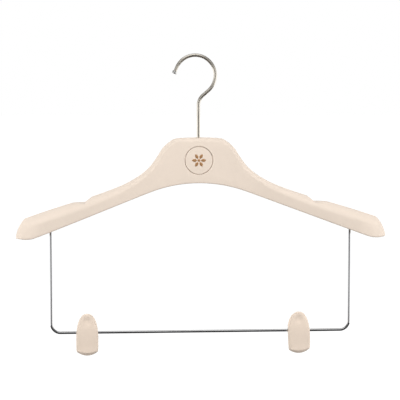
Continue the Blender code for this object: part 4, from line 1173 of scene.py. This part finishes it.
class HANGER_OT_hook(HangerPiece, Operator):
    """Bend the hook and press the button on its open end"""

    bl_idname = "hanger.hook"
    bl_label = "Hook"

    def execute(self, context):
        s = context.scene.trouser_hanger.hook
        route = hook_route(s)
        satin = drawn_metal("hook_satin", s.satin, roughness=0.25, streak=0.05)
        self.settle("hook_rod", tube(route, s.wire, "hook_rod"), satin, "hook", "hook", "hook_metal")
        bore, outer = s.wire / 2 + CLEARANCE, s.button_diameter / 2
        corners = [(0, CLEARANCE, 0), (bore, CLEARANCE, 0), (bore, -s.button_grip, 0.5),
                   (outer, -s.button_grip, 1), (outer, s.button_length, 1.6), (0, s.button_length, 0)]
        button = turned(rounded_corners(corners, s.button_edge, BUTTON_EDGE_STEPS), "hook_button")
        heading = (route[0] - route[1]).normalized()
        place = Matrix.Translation(route[0]) @ heading.to_track_quat("Z", "Y").to_matrix().to_4x4()
        bright = turned_metal("button_bright", s.bright, roughness=0.10)
        self.settle("hook_button", button, bright, "hook", "hook_tip_cap", "polished_metal", place)
        return {"FINISHED"}


class HANGER_OT_swivel(HangerPiece, Operator):
    """Give the bush, washer and nut of the swivel in the neck their metals"""

    bl_idname = "hanger.swivel"
    bl_label = "Swivel"

    def execute(self, context):
        s = context.scene.trouser_hanger.clips
        steel = turned_metal("fastener_steel", s.steel, roughness=0.24)
        brass = turned_metal("bush_metal", s.brass, roughness=0.28)
        for node, material in (("swivel_bush", brass), ("thrust_washer", steel), ("lock_nut", steel)):
            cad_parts[node].material_slots[0].material = material
        return {"FINISHED"}


class HANGER_OT_rail(HangerPiece, Operator):
    """Bend the chromed wire frame"""

    bl_idname = "hanger.rail"
    bl_label = "Rail"

    def execute(self, context):
        s = context.scene.trouser_hanger
        route = rail_route(s.rail, BodyShape(s.body))
        chrome = drawn_metal("rail_plating", s.rail.chrome, roughness=0.07, streak=0.04)
        rod = tube(route, s.rail.wire, "rail_rod")
        self.settle("rail_rod", rod, chrome, "hanger", "rail_frame", "rail_chrome")
        return {"FINISHED"}


class HANGER_OT_clips(HangerPiece, Operator):
    """Make both sprung clips: jaws, grip pads, sleeves and springs"""

    bl_idname = "hanger.clips"
    bl_label = "Clips"

    def execute(self, context):
        s = context.scene.trouser_hanger
        shape = JawShape(s.clips, s.rail.wire)
        plastic = moulded_plastic("clip_plastic_fine", s.clips.plastic, roughness=0.46, grain_scale=2300.0)
        rubber = grip_rubber("grip_rubber", s.clips.rubber)
        slick = moulded_plastic("sleeve_nylon", s.clips.sleeve_plastic, roughness=0.50, grain_scale=2600.0)
        steel = drawn_metal("spring_wire_steel", s.clips.steel, roughness=0.22, streak=0.10)
        jaws = ((BACK, "_back", s.clips.back_ear), (FRONT, "_front", s.clips.front_ear))
        for side, tilt in (("left", 0.0), ("right", s.clips.right_tilt)):
            low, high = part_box(side + "_sleeve")
            place = Matrix.Translation((low + high) / 2) @ Matrix.Rotation(tilt, 4, "Y")
            for way, word, ear_place in jaws:
                body = side + word
                lever, grip = shape.jaw(way, ear_place, "jaw"), shape.pad(way, "pad")
                self.settle(body + "_lever", lever, plastic, body, body + "_jaw", "clip_plastic", place)
                self.settle(body + "_grip", grip, rubber, body, body + "_pad", "pad_rubber", place)
            body, node, slide = side + "_slider", side + "_sleeve", shape.slide("slide")
            self.settle(side + "_slide", slide, slick, body, node, "sleeve_plastic", place)
            self.add_spring(side, shape, steel, place, s.clips)
        return {"FINISHED"}

    def add_spring(self, side, shape, steel, place, s):
        """The coiled spring round the sleeve, with a leg up each lever, in the stead of the frame's spring.
        """
        route = shape.spring_route()
        coil = tube(route, s.spring_wire, "spring", SPRING_SIDES, s.spring_wire * SPRING_EDGE_SHARE)
        spring = new_piece(side + "_torsion_spring", coil, steel, place)
        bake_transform(spring)
        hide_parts(side + "_spring")


class HANGER_OT_stage(HangerPiece, Operator):
    """Set up the pale floor, the dark card, the lamps, the background and the camera"""

    bl_idname = "hanger.stage"
    bl_label = "Stage"

    def execute(self, context):
        s = context.scene.trouser_hanger.stage
        aim = Vector((0, 0, BODY_TOP - s.aim_fall))
        floor_height = CAD_BOX[0].z - s.floor_gap
        self.add_floor(s, floor_height)
        self.add_world(context, s)
        powers = {"overhead_lamp": s.key_power, "left_lamp": s.left_power, "right_lamp": s.right_power,
                  "back_lamp": s.back_power}
        for name, place, size, mirrored in LAMPS:
            self.add_lamp(name, aim + Vector(place), aim, size, powers[name], mirrored)
        self.add_card(s, floor_height + CLEARANCE)
        self.add_camera(context, s, aim)
        context.scene.view_settings.view_transform = "Standard"
        return {"FINISHED"}

    def seen(self, finish):
        """One for rays from the camera, from mirrors and through glass."""
        camera, mirror, glass = [finish.node("ShaderNodeLightPath", output=f"Is {kind} Ray")
                                 for kind in ("Camera", "Glossy", "Transmission")]
        return camera.combined("MAXIMUM", camera, mirror.combined("MAXIMUM", mirror, glass))

    def add_floor(self, s, height):
        """A pale floor that keeps the hanger's shadow and whitens with distance where it is seen."""
        finish = Finish("floor_white")
        mottle = finish.noise(finish.place(), scale=3.0, detail=3.0)
        base = finish.mix(mottle, shade_of(s.floor_colour, 0.99), shade_of(s.floor_colour, 1.01))
        distance = finish.node("ShaderNodeVectorMath", {"operation": "LENGTH"}, {0: finish.place()}, "Value")
        lift = finish.spread(distance, s.lift_start, s.lift_end, s.near_lift, s.far_lift)
        finish.set(Base_Color=base, Roughness=0.9, Specular_IOR_Level=0.0, Emission_Strength=1.0,
                   Emission_Color=finish.mix(lift * self.seen(finish), (0, 0, 0, 1), (1, 1, 1, 1)))
        bm = bmesh.new()
        bmesh.ops.create_grid(bm, x_segments=FLOOR_CELLS, y_segments=FLOOR_CELLS, size=FLOOR_REACH)
        mesh = flat_mesh(bm, "floor")
        new_piece("floor", mesh, finish.material, Matrix.Translation((0, 0, height)))

    def add_world(self, context, s):
        """Even light, seen as white by the camera, and in mirrors as white that dims overhead."""
        world = bpy.data.worlds.new("studio")
        world.use_nodes = True
        context.scene.world = world
        finish = Finish(tree=world.node_tree)
        way = finish.node("ShaderNodeTexCoord", output="Generated")
        height = finish.node("ShaderNodeSeparateXYZ", sockets={0: way}, output="Z")
        dimming = finish.spread(height, low=0.0, high=s.zenith_end, result_low=0.0, result_high=1 - s.zenith)
        mirror = finish.node("ShaderNodeLightPath", output="Is Glossy Ray")
        sky = finish.mix(dimming * mirror, (1, 1, 1, 1), (0, 0, 0, 1))
        light = finish.mix(self.seen(finish), (s.ambient, s.ambient, s.ambient, 1), sky)
        finish.feed(finish.tree.nodes["Background"].inputs["Color"], light)

    def add_lamp(self, name, place, aim, size, power, mirrored):
        """One area lamp that points at the aim."""
        lamp = bpy.data.lights.new(name, "AREA")
        lamp.shape = "RECTANGLE"
        lamp.size, lamp.size_y = size
        lamp.energy = power
        holder = bpy.data.objects.new(name, lamp)
        holder.location = place
        holder.rotation_euler = (aim - place).to_track_quat("-Z", "Y").to_euler()
        holder.visible_glossy = mirrored
        bpy.context.scene.collection.objects.link(holder)

    def add_card(self, s, height):
        """A dark card on the floor and a dark panel in front, which give bright metal something to mirror."""
        front, back = (-s.card_front, height), (s.card_back, height)
        panel_top = (-s.card_front, BODY_TOP + s.panel_rise)
        bm = bmesh.new()
        for reach, far in ((s.card_reach, back), (s.panel_reach, panel_top)):
            rows = [[bm.verts.new((way * reach, *end)) for end in (front, far)] for way in (-1, 1)]
            skin(bm, rows, closed=False)
        mesh = flat_mesh(bm, "dark_card")
        finish = Finish("dark_felt")
        felt = finish.noise(finish.place(), scale=60.0, detail=3.0)
        finish.set(Base_Color=finish.mix(felt, (0.02, 0.02, 0.02, 1), (0.05, 0.05, 0.05, 1)), Roughness=1.0,
                   Specular_IOR_Level=0.0)
        card = new_piece("dark_card", mesh, finish.material)
        card.visible_camera = False
        card.visible_diffuse = False
        card.visible_shadow = False

    def add_camera(self, context, s, aim):
        """A long lens, a little over the hanger's middle and to its left."""
        data = bpy.data.cameras.new("camera")
        data.lens = s.lens
        data.sensor_width = SENSOR_WIDTH
        data.shift_x, data.shift_y = SHIFT_ACROSS_SHARE, SHIFT_UP_SHARE
        level = math.cos(s.elevation)
        back = Vector((math.sin(s.azimuth) * level, -math.cos(s.azimuth) * level, math.sin(s.elevation)))
        camera = bpy.data.objects.new("camera", data)
        camera.location = aim + back * s.distance
        turn = (-back).to_track_quat("-Z", "Y") @ Quaternion((0, 0, 1), s.roll)
        camera.rotation_euler = turn.to_euler()
        context.scene.collection.objects.link(camera)
        context.scene.camera = camera


class HANGER_PT_panel(Panel):
    """Lists the hanger's pieces and their sizes"""

    bl_idname = "HANGER_PT_panel"
    bl_label = "Trouser hanger"
    bl_space_type = "VIEW_3D"
    bl_region_type = "UI"
    bl_category = "Hanger"

    def draw(self, context):
        s = context.scene.trouser_hanger
        groups = {"body": s.body, "badge": s.badge, "hook": s.hook, "swivel": None, "rail": s.rail,
                  "clips": s.clips, "stage": s.stage}
        for word, sizes in groups.items():
            box = self.layout.box()
            box.operator("hanger." + word)
            if sizes:
                for name in sizes.__annotations__:
                    box.prop(sizes, name)


CLASSES = (
    BodySizes, BadgeSizes, HookSizes, RailSizes, ClipSizes, StageSizes, HangerSettings,
    HANGER_OT_body, HANGER_OT_badge, HANGER_OT_hook, HANGER_OT_swivel, HANGER_OT_rail, HANGER_OT_clips,
    HANGER_OT_stage, HANGER_PT_panel,
)


def register():
    for made in CLASSES:
        bpy.utils.register_class(made)
    bpy.types.Scene.trouser_hanger = PointerProperty(type=HangerSettings)


def unregister():
    del bpy.types.Scene.trouser_hanger
    for made in reversed(CLASSES):
        bpy.utils.unregister_class(made)


def main():
    register()
    bpy.ops.hanger.body()
    bpy.ops.hanger.badge()
    bpy.ops.hanger.hook()
    bpy.ops.hanger.swivel()
    bpy.ops.hanger.rail()
    bpy.ops.hanger.clips()
    bpy.ops.hanger.stage()


if __name__ == "__main__":
    main()
